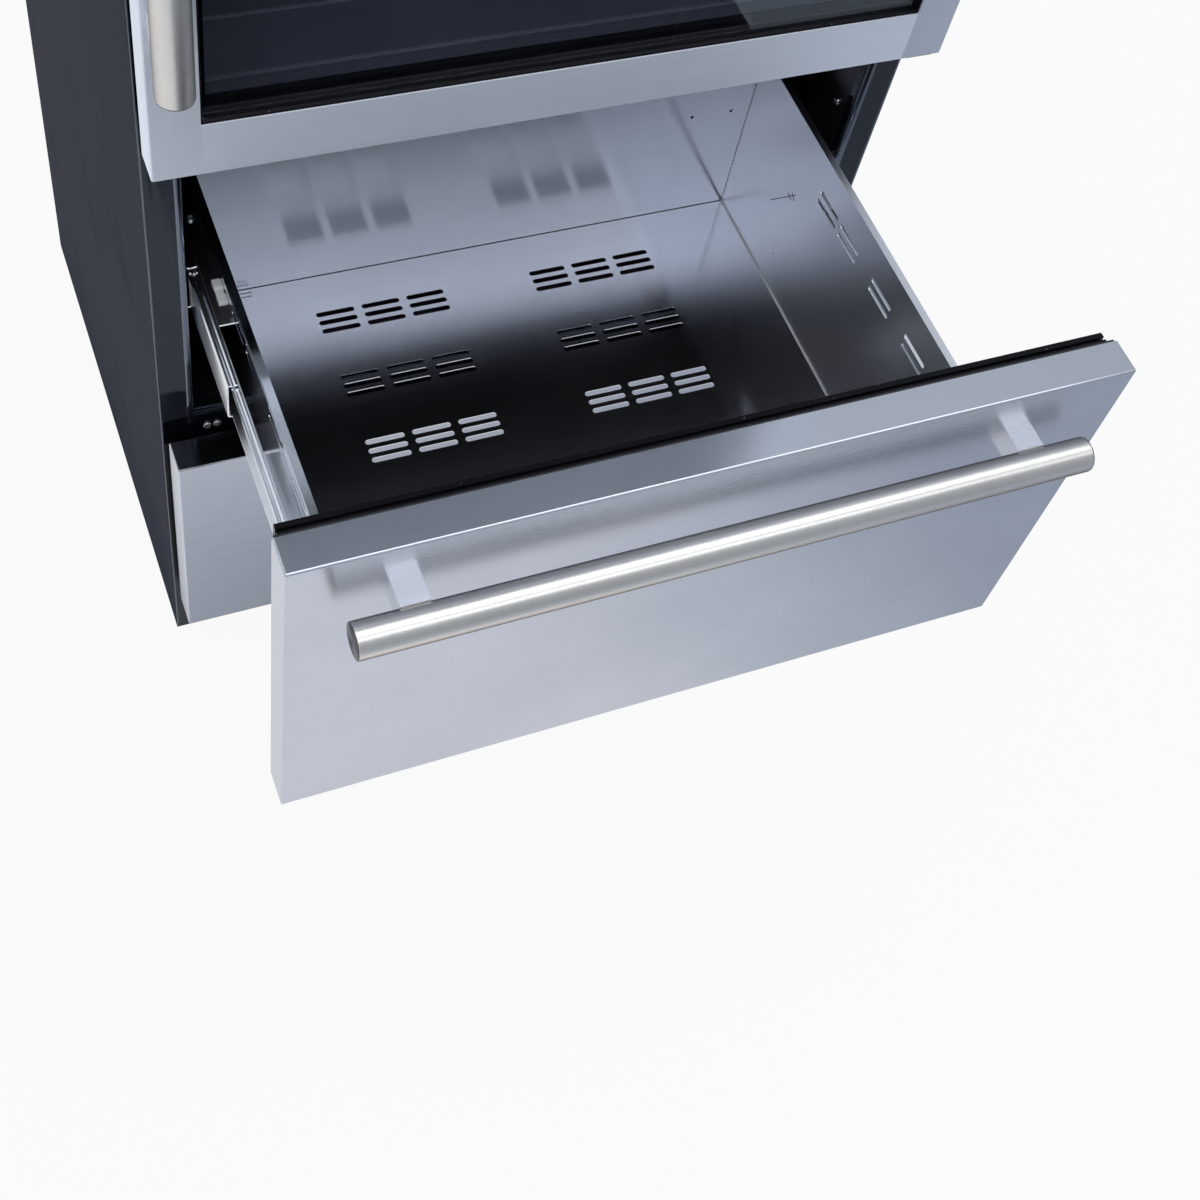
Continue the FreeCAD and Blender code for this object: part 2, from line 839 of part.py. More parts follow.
def middle_hinge_bracket():
    x1 = half_inside - hinge_edge_margin
    z0, z1 = tongue_span()
    tongue = block(x1 - middle_hinge_width, x1, hinge_y - hinge_nose, middle_hinge_reach, z0, z1)
    pin = tube_z(hinge_x, hinge_y, hinge_pin_radius, z1, door_bottom_z + hinge_pin_length)
    return tongue.fuse(pin).removeSplitter()


def top_screw_places():
    x = top_hinge_x() + top_hinge_width / 2
    steps = [index * top_hinge_screw_step for index in range(top_hinge_screw_count)]
    return [(x, top_hinge_screw_start + step) for step in steps]


def sill_screws():
    z = drawer_opening_bottom_z - sill_screw_drop
    outer = half_opening - sill_screw_inset
    return [(side * (outer - step), z) for side in (-1, 1) for step in (0, sill_screw_spacing)]


def wall_screw_z():
    return drawer_opening_top_z - wall_screw_drop


def screw(foot, direction, shank_length):
    """Pan-head screw with its head standing on a face at the foot point."""
    head = Part.makeCylinder(screw_head_radius, screw_head_height, foot, direction)
    recess_foot = foot + direction * (screw_head_height - screw_recess_depth)
    recess = Part.makeCylinder(screw_recess_radius, screw_recess_depth + overrun, recess_foot, direction)
    shank = Part.makeCylinder(screw_shank_radius, shank_length, foot, direction * -1)
    return head.cut(recess).fuse(shank).removeSplitter()


def cabinet_screws():
    screws = [screw(V(x, 0, z), V(0, -1, 0), frame_sheet) for x, z in sill_screws()]
    for side in (-1, 1):
        foot = V(side * half_opening, wall_screw_depth, wall_screw_z())
        screws.append(screw(foot, V(-side, 0, 0), liner_sheet))
    for x, y in top_screw_places():
        screws.append(screw(V(x, y, top_z + hinge_plate), ALONG_Z, hinge_plate + panel_sheet))
    return Part.makeCompound(screws)


# Telescopic slides, drawn for the left side

def channel(x0, x1, y0, y1, height, web_at_left):
    """Sheet channel along y, open to the right or to the left."""
    half = height / 2
    outer = block(x0, x1, y0, y1, slide_z - half, slide_z + half)
    hollow_x0 = x0 + slide_sheet if web_at_left else x0 - overrun
    hollow_x1 = x1 + overrun if web_at_left else x1 - slide_sheet
    return outer.cut(block(
        hollow_x0, hollow_x1, y0 - overrun, y1 + overrun,
        slide_z - half + slide_sheet, slide_z + half - slide_sheet))


def slide_outer():
    x0 = -half_opening
    return channel(x0, x0 + slide_outer_depth, slide_setback, slide_setback + slide_outer_length,
                   slide_outer_height, True)


def slide_middle_x():
    return -half_opening + slide_sheet + slide_web_gap


def slide_middle_y():
    """Front end of the middle member with the drawer shut."""
    return drawer_pull / 2 - slide_middle_reach


def slide_middle():
    x0 = slide_middle_x()
    y0 = slide_middle_y()
    return channel(x0, x0 + slide_middle_depth, y0, y0 + slide_middle_length, slide_middle_height, True)


def retainer_strips(y0, length, z_low, z_high):
    """Upper and lower plastic strip between two slide members."""
    x0 = slide_middle_x() + slide_sheet + retainer_web_gap
    strips = []
    for side in (-1, 1):
        low = slide_z + min(side * z_low, side * z_high)
        high = slide_z + max(side * z_low, side * z_high)
        strips.append(block(x0, x0 + retainer_width, y0, y0 + length, low, high))
    return strips


def slide_retainer():
    start = slide_middle_y()
    middle_half = slide_middle_height / 2
    outer_gap = slide_outer_height / 2 - slide_sheet - running_clearance
    strips = retainer_strips(start + outer_retainer_start, outer_retainer_length, middle_half, outer_gap)
    inner_gap = slide_inner_height / 2 + running_clearance
    strips += retainer_strips(
        start + inner_retainer_start, inner_retainer_length, inner_gap, middle_half - slide_sheet)
    return Part.makeCompound(strips)


def slide_inner():
    """Drawer member with the plates that carry the tub wall."""
    x1 = -half_opening + slide_depth
    y0 = front_back_y
    y1 = y0 + slide_inner_length
    member = channel(x1 - slide_inner_depth, x1, y0, y1, slide_inner_height, False)
    top = slide_z + slide_inner_height / 2
    wall_x = -half_tub - tub_sheet
    for start, end in ((y0, y0 + slide_front_plate_length), (y1 - slide_rear_plate_length, y1)):
        member = member.fuse(block(x1 - slide_sheet, wall_x, start, end, top - slide_plate_thickness, top))
    return member.removeSplitter()


# Drawer, drawn shut

def drawer_front_skin():
    return pan(
        half_front, front_face_y, front_back_y - inner_panel_thickness, drawer_bottom_z, drawer_top_z,
        skin_sheet, skin_round)


def drawer_foam():
    half = half_front - skin_sheet
    return block(
        -half, half, front_face_y + skin_sheet, front_back_y - inner_panel_thickness,
        drawer_bottom_z + skin_sheet, drawer_top_z - skin_sheet)


def drawer_inner_panel():
    half = half_front - inner_panel_inset
    return block(
        -half, half, front_back_y - inner_panel_thickness, front_back_y,
        drawer_bottom_z + inner_panel_inset, drawer_top_z - inner_panel_inset)


def bellows_seal(half_x, z0, z1):
    """Soft ring with a drawn-in waist between its base and its sealing head."""
    y0 = front_back_y
    y1 = y0 + seal_base_depth
    y2 = y1 + seal_waist_depth
    y3 = -seal_free_gap
    base = ring(half_x, y0, y1, z0, z1, seal_width)
    waist = ring(
        half_x - seal_waist_inset, y1, y2, z0 + seal_waist_inset, z1 - seal_waist_inset,
        seal_width - 2 * seal_waist_inset)
    head = ring(half_x, y2, y3, z0, z1, seal_width)
    return base.fuse(waist).fuse(head).removeSplitter()


def drawer_gasket():
    return bellows_seal(
        half_front - drawer_seal_inset, drawer_bottom_z + drawer_seal_inset, drawer_top_z - drawer_seal_inset)


def tub_floor():
    floor = block(-half_tub, half_tub, front_back_y, tub_back_y, tub_floor_z - tub_sheet, tub_floor_z)
    for group in range(floor_group_rows):
        group_y = tub_back_y - floor_group_from_back - group * floor_group_step
        for side in (-1, 1):
            for dx in spread(floor_slot_columns, floor_slot_step_x):
                for dy in spread(floor_slot_rows, floor_slot_step_y):
                    floor = floor.cut(slot_x(
                        side * floor_group_offset_x + dx, group_y + dy, tub_floor_z,
                        floor_slot_length, floor_slot_width, tub_sheet + overrun, ALONG_Z))
    return floor


def wall_slot(y, z):
    """Round-ended cutter through the left tub wall, long along y."""
    straight = wall_slot_length - wall_slot_width
    radius = wall_slot_width / 2
    x0 = -half_tub - tub_sheet - overrun
    x1 = -half_tub + overrun
    cutter = block(x0, x1, y - straight / 2, y + straight / 2, z - radius, z + radius)
    for side in (-1, 1):
        cutter = cutter.fuse(Part.makeCylinder(radius, x1 - x0, V(x0, y + side * straight / 2, z), ALONG_X))
    return cutter


def wall_slot_places():
    """Distance of each pair of slots from the rearmost one."""
    return [0] + [wall_slot_first_step + index * wall_slot_step for index in range(wall_slot_pairs - 1)]


def tub_wall():
    """Left wall with its slots and a lip folded outwards."""
    outer = -half_tub - tub_sheet
    low = tub_floor_z - tub_sheet
    wall = block(outer, -half_tub, front_back_y, tub_back_y + tub_sheet, low, tub_top_z)
    lip_x = -half_tub - tub_lip_width
    y1 = tub_back_y + tub_sheet
    wall = wall.fuse(block(lip_x, outer, front_back_y, y1, tub_top_z - tub_sheet, tub_top_z))
    wall = wall.fuse(block(
        lip_x, lip_x + tub_sheet, front_back_y, y1, tub_top_z - tub_lip_return, tub_top_z))
    for step in wall_slot_places():
        for row in range(wall_slot_rows):
            z = tub_top_z - wall_slot_drop - row * wall_slot_row_step
            wall = wall.cut(wall_slot(tub_back_y - wall_slot_from_back - step, z))
    return wall.removeSplitter()


def tub_back():
    back = block(-half_tub, half_tub, tub_back_y, tub_back_y + tub_sheet, tub_floor_z - tub_sheet, tub_top_z)
    z = tub_top_z - back_hole_drop
    for index in range(back_hole_count):
        x = half_tub - back_hole_inset - index * back_hole_spacing
        hole_end = tub_back_y + tub_sheet + overrun
        back = back.cut(tube_y(x, z, back_hole_radius, tub_back_y - overrun, hole_end))
    return back


def bar(start, direction, length, post_places):
    """Round bar with rounded end edges and a flat milled for each post."""
    rod = Part.makeCylinder(bar_radius, length, start, direction)
    ends = [edge for edge in rod.Edges if len(edge.Vertexes) == 1]
    rod = rod.makeFillet(bar_end_round, ends)
    half = post_size / 2
    for place in post_places:
        centre = start + direction * place
        rod = rod.cut(block(
            centre.x - half, centre.x + half, bar_flat_y, bar_flat_y + bar_radius,
            centre.z - half, centre.z + half))
    return rod


def post(x, z):
    """Square post from the panel's face to the flat on the bar."""
    half = post_size / 2
    return block(x - half, x + half, bar_flat_y, front_face_y, z - half, z + half)


def drawer_post_places():
    place = drawer_bar_length / 2 - post_end_margin
    return (-place, place)


def drawer_handle_bar():
    start = V(-drawer_bar_length / 2, bar_y, drawer_bar_z)
    places = [x + drawer_bar_length / 2 for x in drawer_post_places()]
    return bar(start, ALONG_X, drawer_bar_length, places)


def drawer_handle_posts():
    return Part.makeCompound([post(x, drawer_bar_z) for x in drawer_post_places()])


# Door, drawn shut

def door_profile(width, back_width):
    """Hollow stile section seen from above: a front lip over a rebate for the glass."""

    def outline(inset):
        x_outer = half_front - inset
        x_back = half_front - back_width + inset
        x_inner = half_front - width + inset
        y_front = front_face_y + inset
        y_lip = door_lip_back_y - inset
        y_back = door_profile_back_y - inset
        points = [
            V(x_outer, y_front, 0), V(x_inner, y_front, 0), V(x_inner, y_lip, 0),
            V(x_back, y_lip, 0), V(x_back, y_back, 0), V(x_outer, y_back, 0), V(x_outer, y_front, 0)]
        return Part.Face(Part.makePolygon(points))

    return outline(0), outline(door_profile_wall)


def door_stile():
    """Right stile with solid end plugs, before it is bored."""
    length = door_top_z - door_bottom_z
    outer, inner = door_profile(stile_width, stile_back_width)
    stile = outer.extrude(V(0, 0, length))

    def outer_front_corner(middle, direction):
        upright = abs(direction.z) > length / 2
        return upright and middle.x > half_front - skin_round and middle.y < front_face_y + skin_round

    stile = round_edges(stile, skin_round, outer_front_corner)
    hollow = inner.extrude(V(0, 0, length - 2 * door_plug_height))
    hollow.translate(V(0, 0, door_plug_height))
    stile = stile.cut(hollow)
    stile.translate(V(0, 0, door_bottom_z))
    return stile


def door_stile_bored():
    """Right stile with a bore in each plug for a hinge pin."""
    stile = door_stile()
    depth = hinge_pin_length + overrun
    bore = hinge_pin_radius + running_clearance
    lower = tube_z(hinge_x, hinge_y, bore, door_bottom_z - overrun, door_bottom_z + depth)
    upper = tube_z(hinge_x, hinge_y, bore, door_top_z - depth, door_top_z + overrun)
    stile = stile.cut(lower).cut(upper)
    return stile


def door_rail(z_edge, upward):
    """Rail between the stiles, with the same hollow section; upward is 1 at the bottom, -1 at the top."""
    half = half_front - stile_width
    back_half = half_front - stile_back_width

    def section(half_x, back_half_x, inset):
        z_outer = z_edge + upward * inset
        z_lip = z_edge + upward * (rail_height - inset)
        z_back = z_edge + upward * (rail_back_height - inset)
        y_front = front_face_y + inset
        y_lip = door_lip_back_y - inset
        y_back = door_profile_back_y - inset
        front = block(-half_x, half_x, y_front, y_lip, min(z_outer, z_lip), max(z_outer, z_lip))
        back = block(-back_half_x, back_half_x, y_lip, y_back, min(z_outer, z_back), max(z_outer, z_back))
        return front, back

    front, back = section(half, back_half, 0)
    rail = front.fuse(back).removeSplitter()
    inner_front, inner_back = section(half + overrun, back_half + overrun, door_profile_wall)
    return rail.cut(inner_front).cut(inner_back)


def glass_half():
    return half_front - stile_back_width - glass_edge_gap


def glass_span():
    return door_bottom_z + rail_back_height + glass_edge_gap, door_top_z - rail_back_height - glass_edge_gap


def door_glass_outer():
    z0, z1 = glass_span()
    return block(-glass_half(), glass_half(), door_lip_back_y, door_lip_back_y + glass_thickness, z0, z1)


def door_glass_inner():
    z0, z1 = glass_span()
    return block(
        -glass_half(), glass_half(), door_profile_back_y - glass_thickness, door_profile_back_y, z0, z1)


def door_glass_spacer():
    z0, z1 = glass_span()
    y0 = door_lip_back_y + glass_thickness
    return ring(glass_half(), y0, door_profile_back_y - glass_thickness, z0, z1, spacer_width)


def door_inner_frame():
    half = half_front - inner_frame_inset
    z0 = door_bottom_z + inner_frame_inset
    z1 = door_top_z - inner_frame_inset
    return ring(half, door_profile_back_y, front_back_y, z0, z1, inner_frame_border)


def door_gasket():
    return bellows_seal(
        half_front - door_seal_inset, door_bottom_z + door_seal_inset, door_top_z - door_seal_inset)


def door_bar_span():
    return door_bottom_z + door_bar_end_margin, door_top_z - door_bar_end_margin


def door_handle_bar():
    z0, z1 = door_bar_span()
    length = z1 - z0
    places = (post_end_margin, length - post_end_margin)
    return bar(V(door_bar_x, bar_y, z0), ALONG_Z, length, places)


def door_handle_posts():
    z0, z1 = door_bar_span()
    return Part.makeCompound([post(door_bar_x, z) for z in (z0 + post_end_margin, z1 - post_end_margin)])


def cabinet_pieces():
    pieces = {
        "side_panel_left": side_panel(),
        "side_panel_right": mirrored(side_panel()),
        "top_cover": top_cover(),
        "back_panel": back_panel(),
        "front_frame": front_frame(),
        "insulation": insulation(),
        "upper_liner": upper_liner(),
        "drawer_liner": drawer_liner(),
        "kick_panel": kick_panel(),
        "base_pan": base_pan(),
        "rear_machine_cover": rear_machine_cover(),
        "power_inlet": power_inlet(),
        "compressor": compressor(),
        "condenser_coil": condenser_coil(),
        "condenser_fan_frame": condenser_fan_frame(),
        "condenser_fan_rotor": condenser_fan_rotor(),
        "cold_air_cover": cold_air_cover(),
        "control_panel": control_panel(),
        "light_bar": light_bar(),
        "top_hinge_bracket": top_hinge_bracket(),
        "middle_hinge_bracket": middle_hinge_bracket(),
        "cabinet_screws": cabinet_screws(),
        "slide_outer_left": slide_outer(),
        "slide_outer_right": mirrored(slide_outer()),
    }
    for number, z in enumerate(shelf_heights(), 1):
        pieces["shelf_" + str(number)] = shelf(z)
    for name, (x, y) in foot_places().items():
        pieces[name] = levelling_foot(x, y)
    return pieces


def slide_pieces():
    pieces = {}
    for name, shape in (("slide_middle", slide_middle()), ("slide_retainer", slide_retainer())):
        pieces[name + "_left"] = pulled(shape, drawer_pull / 2)
        pieces[name + "_right"] = pulled(mirrored(shape), drawer_pull / 2)
    return pieces


def drawer_pieces():
    pieces = {
        "drawer_front_skin": drawer_front_skin(),
        "drawer_foam": drawer_foam(),
        "drawer_inner_panel": drawer_inner_panel(),
        "drawer_gasket": drawer_gasket(),
        "tub_floor": tub_floor(),
        "tub_wall_left": tub_wall(),
        "tub_wall_right": mirrored(tub_wall()),
        "tub_back": tub_back(),
        "slide_inner_left": slide_inner(),
        "slide_inner_right": mirrored(slide_inner()),
        "drawer_handle_bar": drawer_handle_bar(),
        "drawer_handle_posts": drawer_handle_posts(),
    }
    return {name: pulled(shape, drawer_pull) for name, shape in pieces.items()}


def door_pieces():
    return {
        "door_stile_left": mirrored(door_stile()),
        "door_stile_right": door_stile_bored(),
        "door_rail_bottom": door_rail(door_bottom_z, 1),
        "door_rail_top": door_rail(door_top_z, -1),
        "door_glass_outer": door_glass_outer(),
        "door_glass_inner": door_glass_inner(),
        "door_glass_spacer": door_glass_spacer(),
        "door_inner_frame": door_inner_frame(),
        "door_gasket": door_gasket(),
        "door_handle_bar": door_handle_bar(),
        "door_handle_posts": door_handle_posts(),
    }


os.makedirs("parts", exist_ok=True)
for group in (cabinet_pieces(), slide_pieces(), drawer_pieces(), door_pieces()):
    for piece_name, piece in group.items():
        save(piece_name, piece)
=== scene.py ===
import math
import bmesh
import bpy
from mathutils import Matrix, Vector


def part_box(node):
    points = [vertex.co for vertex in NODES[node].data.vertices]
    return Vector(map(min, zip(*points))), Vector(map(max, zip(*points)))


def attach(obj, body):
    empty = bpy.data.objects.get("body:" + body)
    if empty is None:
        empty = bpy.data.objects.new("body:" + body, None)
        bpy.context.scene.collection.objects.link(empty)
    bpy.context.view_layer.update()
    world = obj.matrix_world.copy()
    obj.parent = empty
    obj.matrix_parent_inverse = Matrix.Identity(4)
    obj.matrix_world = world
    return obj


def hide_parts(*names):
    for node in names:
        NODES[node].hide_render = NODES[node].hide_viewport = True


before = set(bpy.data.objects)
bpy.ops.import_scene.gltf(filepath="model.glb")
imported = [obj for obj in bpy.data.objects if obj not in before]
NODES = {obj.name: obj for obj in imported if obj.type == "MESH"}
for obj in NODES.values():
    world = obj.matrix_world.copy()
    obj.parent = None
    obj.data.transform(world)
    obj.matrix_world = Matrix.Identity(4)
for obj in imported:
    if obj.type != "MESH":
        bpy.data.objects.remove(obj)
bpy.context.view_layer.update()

X_AXIS = (1.0, 0.0, 0.0)
Y_AXIS = (0.0, 1.0, 0.0)
Z_AXIS = (0.0, 0.0, 1.0)
VALUE = "NodeSocketFloat"
VECTOR = "NodeSocketVector"
FINISHES = {}


# Node trees

def put(tree, kind, links=None, **settings):
    """Add a node; links gives its inputs by name or index, each a value or another node's output."""
    node = tree.nodes.new(kind)
    for name, value in settings.items():
        setattr(node, name, value)
    for key, value in (links or {}).items():
        if isinstance(value, bpy.types.NodeSocket):
            tree.links.new(value, node.inputs[key])
        else:
            node.inputs[key].default_value = value
    return node


def maths(tree, operation, *values, clamp=False):
    """A Math node's output."""
    node = put(tree, "ShaderNodeMath", dict(enumerate(values)), operation=operation, use_clamp=clamp)
    return node.outputs[0]


def remap(tree, value, low, high, to_low, to_high):
    """A value taken from one range to another, clamped."""
    links = {"Value": value, "From Min": low, "From Max": high, "To Min": to_low, "To Max": to_high}
    return put(tree, "ShaderNodeMapRange", links).outputs[0]


def blend(tree, share, first, second):
    """A share of one value with the rest of another."""
    return maths(tree, "ADD", maths(tree, "MULTIPLY", first, share),
                 maths(tree, "MULTIPLY", second, 1.0 - share))


def noise(tree, place, scale, detail=2.0, roughness=0.5):
    """A Noise texture's value at a place."""
    links = {"Vector": place, "Scale": scale, "Detail": detail, "Roughness": roughness}
    return put(tree, "ShaderNodeTexNoise", links).outputs["Fac"]


def tint(tree, share, first, second):
    """A colour between two colours."""
    node = put(tree, "ShaderNodeMix", {"Factor": share}, data_type="RGBA")
    for socket, colour in ((node.inputs[6], first), (node.inputs[7], second)):
        if isinstance(colour, bpy.types.NodeSocket):
            tree.links.new(colour, socket)
        else:
            socket.default_value = (*colour, 1.0)
    return node.outputs[2]


def stretched(tree, place, scale):
    """A place with each axis scaled, so that a texture on it has long grain."""
    return put(tree, "ShaderNodeVectorMath", {0: place, 1: scale}, operation="MULTIPLY").outputs[0]


def group(name, inputs, outputs):
    """An empty node group with named sockets; inputs map a name to (kind, default)."""
    tree = bpy.data.node_groups.new(name, "ShaderNodeTree")
    for label, (kind, value) in inputs.items():
        socket = tree.interface.new_socket(label, in_out="INPUT", socket_type=kind)
        socket.default_value = value
    for label in outputs:
        tree.interface.new_socket(label, in_out="OUTPUT", socket_type=VALUE)
    source = tree.nodes.new("NodeGroupInput")
    result = tree.nodes.new("NodeGroupOutput")
    return tree, source.outputs, result.inputs


def give(tree, results, **values):
    """Link values to the group's outputs."""
    for label, value in values.items():
        tree.links.new(value, results[label.replace("_", " ")])


# Effects that several finishes share

def brushed_grain():
    """Fine lines left by brushing, long along one axis, with broad uneven tone over them."""
    tree, source, results = group(
        "brushed_grain",
        {"Place": (VECTOR, (0, 0, 0)), "Grain": (VECTOR, (6, 900, 900)), "Cloud Size": (VALUE, 5.0)},
        ("Lines", "Clouds"))
    along = stretched(tree, source["Place"], source["Grain"])
    fine = noise(tree, along, 1.0, detail=4.0, roughness=0.62)
    coarse = noise(tree, along, 0.21)
    lines = blend(tree, 0.65, fine, coarse)
    clouds = noise(tree, source["Place"], source["Cloud Size"], detail=2.5, roughness=0.55)
    give(tree, results, Lines=remap(tree, lines, 0.32, 0.68, 0.0, 1.0),
         Clouds=remap(tree, clouds, 0.3, 0.7, 0.0, 1.0))
    return tree


def handling_marks():
    """Smudges from hands, specks of dust and a few hairline scratches."""
    tree, source, results = group(
        "handling_marks",
        {"Place": (VECTOR, (0, 0, 0)), "Smudge Size": (VALUE, 9.0), "Speck Size": (VALUE, 260.0),
         "Speck Share": (VALUE, 0.1)},
        ("Smudge", "Specks", "Scratches"))
    place = source["Place"]
    patches = noise(tree, place, source["Smudge Size"], detail=5.0, roughness=0.6)
    smudge = remap(tree, patches, 0.5, 0.75, 0.0, 1.0)
    cells = put(tree, "ShaderNodeTexVoronoi",
                {"Vector": place, "Scale": source["Speck Size"], "Randomness": 1.0})
    near = remap(tree, cells.outputs["Distance"], 0.05, 0.16, 1.0, 0.0)
    chosen = put(tree, "ShaderNodeSeparateColor", {"Color": cells.outputs["Color"]}).outputs[0]
    specks = maths(tree, "MULTIPLY", near, maths(tree, "LESS_THAN", chosen, source["Speck Share"]))
    bent = put(tree, "ShaderNodeTexWave",
               {"Vector": place, "Scale": 2.1, "Distortion": 9.0, "Detail": 2.0, "Detail Scale": 1.4})
    hair = remap(tree, bent.outputs["Fac"], 0.994, 1.0, 0.0, 1.0)
    broken = remap(tree, noise(tree, place, 23.0), 0.6, 0.66, 0.0, 1.0)
    give(tree, results, Smudge=smudge, Specks=specks, Scratches=maths(tree, "MULTIPLY", hair, broken))
    return tree


def rolled_waviness():
    """Slow unevenness of rolled or moulded sheet, for the height of a bump."""
    tree, source, results = group(
        "rolled_waviness",
        {"Place": (VECTOR, (0, 0, 0)), "Wave": (VECTOR, (9, 9, 3)), "Pebble Size": (VALUE, 700.0)},
        ("Waves", "Pebbles"))
    along = stretched(tree, source["Place"], source["Wave"])
    give(tree, results, Waves=noise(tree, along, 1.0, detail=1.0, roughness=0.4),
         Pebbles=noise(tree, source["Place"], source["Pebble Size"]))
    return tree


def wood_grain():
    """Long grain with growth rings and pores."""
    tree, source, results = group(
        "wood_grain", {"Place": (VECTOR, (0, 0, 0)), "Grain": (VECTOR, (2, 30, 30))}, ("Rings", "Pores"))
    along = stretched(tree, source["Place"], source["Grain"])
    bend = noise(tree, along, 0.6, detail=3.0, roughness=0.6)
    rings = maths(tree, "PINGPONG", maths(tree, "MULTIPLY", bend, 9.0), 1.0)
    pores = remap(tree, noise(tree, along, 9.0, roughness=0.6), 0.56, 0.66, 0.0, 1.0)
    give(tree, results, Rings=rings, Pores=pores)
    return tree


GRAIN = brushed_grain()
MARKS = handling_marks()
WAVES = rolled_waviness()
WOOD = wood_grain()


def use(tree, shared, **links):
    """Place a shared group in a material."""
    node = tree.nodes.new("ShaderNodeGroup")
    node.node_tree = shared
    for label, value in links.items():
        socket = node.inputs[label.replace("_", " ")]
        if isinstance(value, bpy.types.NodeSocket):
            tree.links.new(value, socket)
        else:
            socket.default_value = value
    return node.outputs


# Makers of the finishes

GRAIN_FINE = 900.0
GRAIN_LONG = 6.0
GRAIN_LEAN = (0.02, 0.03, 0.05)
BAR_EDGE_TINT = (0.05, 0.05, 0.05, 1.0)
LEVEL_FROM = 0.9
METAL_DUST = (0.8, 0.81, 0.84)
PAINT_DUST = (0.32, 0.33, 0.35)


def new_finish(name):
    """A material kept in FINISHES; returns it with its tree, its shader and the object's own place."""
    finish = bpy.data.materials.new(name)
    FINISHES[name] = finish
    finish.use_nodes = True
    tree = finish.node_tree
    shader = tree.nodes["Principled BSDF"]
    place = tree.nodes.new("ShaderNodeTexCoord").outputs["Object"]
    return finish, tree, shader, place


def bump(tree, shader, height, strength, distance):
    """Raise the surface by a height."""
    links = {"Height": height, "Strength": strength, "Distance": distance}
    raised = put(tree, "ShaderNodeBump", links)
    tree.links.new(raised.outputs[0], shader.inputs["Normal"])


def across_grain(tree, shader, along, amount, ringed):
    """Spread highlights across the brushing, which runs along one axis of the object or round it."""
    shader.inputs["Anisotropic"].default_value = amount
    slanted = tuple(share + lean for share, lean in zip(along, GRAIN_LEAN))
    lines = put(tree, "ShaderNodeVectorTransform", {0: slanted}, vector_type="VECTOR",
                convert_from="OBJECT", convert_to="WORLD").outputs[0]
    if ringed:
        tree.links.new(lines, shader.inputs["Tangent"])
        shader.inputs["Specular Tint"].default_value = BAR_EDGE_TINT
        return
    normal = tree.nodes.new("ShaderNodeNewGeometry").outputs["Normal"]
    cross = put(tree, "ShaderNodeVectorMath", {0: normal, 1: lines}, operation="CROSS_PRODUCT")
    tree.links.new(cross.outputs[0], shader.inputs["Tangent"])


def brushed(name, bright, dull, along, rough, spread, line_depth=0.000004, specks=0.05, cloud_size=5.0,
            ringed=False, folds=None, fold_painted_shade=1.0):
    """Brushed metal whose lines run along one axis, or round that axis where it is ringed.

    Where folds gives a roughness, level folded edges have it, and their colour is fold_painted_shade times as
    bright; below 1 this paints shade on those level faces.
    """
    _, tree, shader, place = new_finish(name)
    on_axis, off_axis = (GRAIN_FINE, GRAIN_LONG) if ringed else (GRAIN_LONG, GRAIN_FINE)
    grain = tuple(on_axis if share else off_axis for share in along)
    lines = use(tree, GRAIN, Place=place, Grain=grain, Cloud_Size=cloud_size)
    marks = use(tree, MARKS, Place=place, Speck_Share=specks)
    colour = tint(tree, blend(tree, 0.45, lines["Lines"], lines["Clouds"]), dull, bright)
    base_colour = tint(tree, maths(tree, "MULTIPLY", marks["Specks"], 0.5), colour, METAL_DUST)
    roughness = remap(tree, blend(tree, 0.6, lines["Lines"], marks["Smudge"]), 0.0, 1.0, *rough)
    if folds is not None:
        normal = tree.nodes.new("ShaderNodeNewGeometry").outputs["Normal"]
        upward = put(tree, "ShaderNodeSeparateXYZ", {0: normal}).outputs["Z"]
        level = maths(tree, "GREATER_THAN", maths(tree, "ABSOLUTE", upward), LEVEL_FROM)
        brushed_part = maths(tree, "MULTIPLY", roughness, maths(tree, "SUBTRACT", 1.0, level))
        roughness = maths(tree, "ADD", brushed_part, maths(tree, "MULTIPLY", level, folds))
        # Painted shade: level faces take the bright colour times fold_painted_shade
        base_colour = tint(tree, level, base_colour, tuple(fold_painted_shade * part for part in bright))
    tree.links.new(base_colour, shader.inputs["Base Color"])
    tree.links.new(roughness, shader.inputs["Roughness"])
    height = maths(tree, "SUBTRACT", lines["Lines"], maths(tree, "MULTIPLY", marks["Scratches"], 3.0))
    bump(tree, shader, height, 0.5, line_depth)
    shader.inputs["Metallic"].default_value = 1.0
    across_grain(tree, shader, along, spread, ringed)


def turned(name, bright, dull):
    """Lathe-turned end of a bar: fine rings about its own origin, with highlights spread towards the rim."""
    _, tree, shader, place = new_finish(name)
    radius = put(tree, "ShaderNodeVectorMath", {0: place}, operation="LENGTH").outputs["Value"]
    on_line = put(tree, "ShaderNodeCombineXYZ", {0: radius}).outputs[0]
    rings = noise(tree, on_line, 4000.0, detail=3.0, roughness=0.6)
    marks = use(tree, MARKS, Place=place, Speck_Size=900.0)
    tree.links.new(tint(tree, rings, dull, bright), shader.inputs["Base Color"])
    tree.links.new(remap(tree, marks["Smudge"], 0.0, 1.0, 0.26, 0.34), shader.inputs["Roughness"])
    bump(tree, shader, rings, 0.4, 0.000002)
    outward = put(tree, "ShaderNodeVectorTransform", {0: place}, vector_type="VECTOR",
                  convert_from="OBJECT", convert_to="WORLD")
    tree.links.new(outward.outputs[0], shader.inputs["Tangent"])
    shader.inputs["Metallic"].default_value = 1.0
    shader.inputs["Anisotropic"].default_value = 0.95


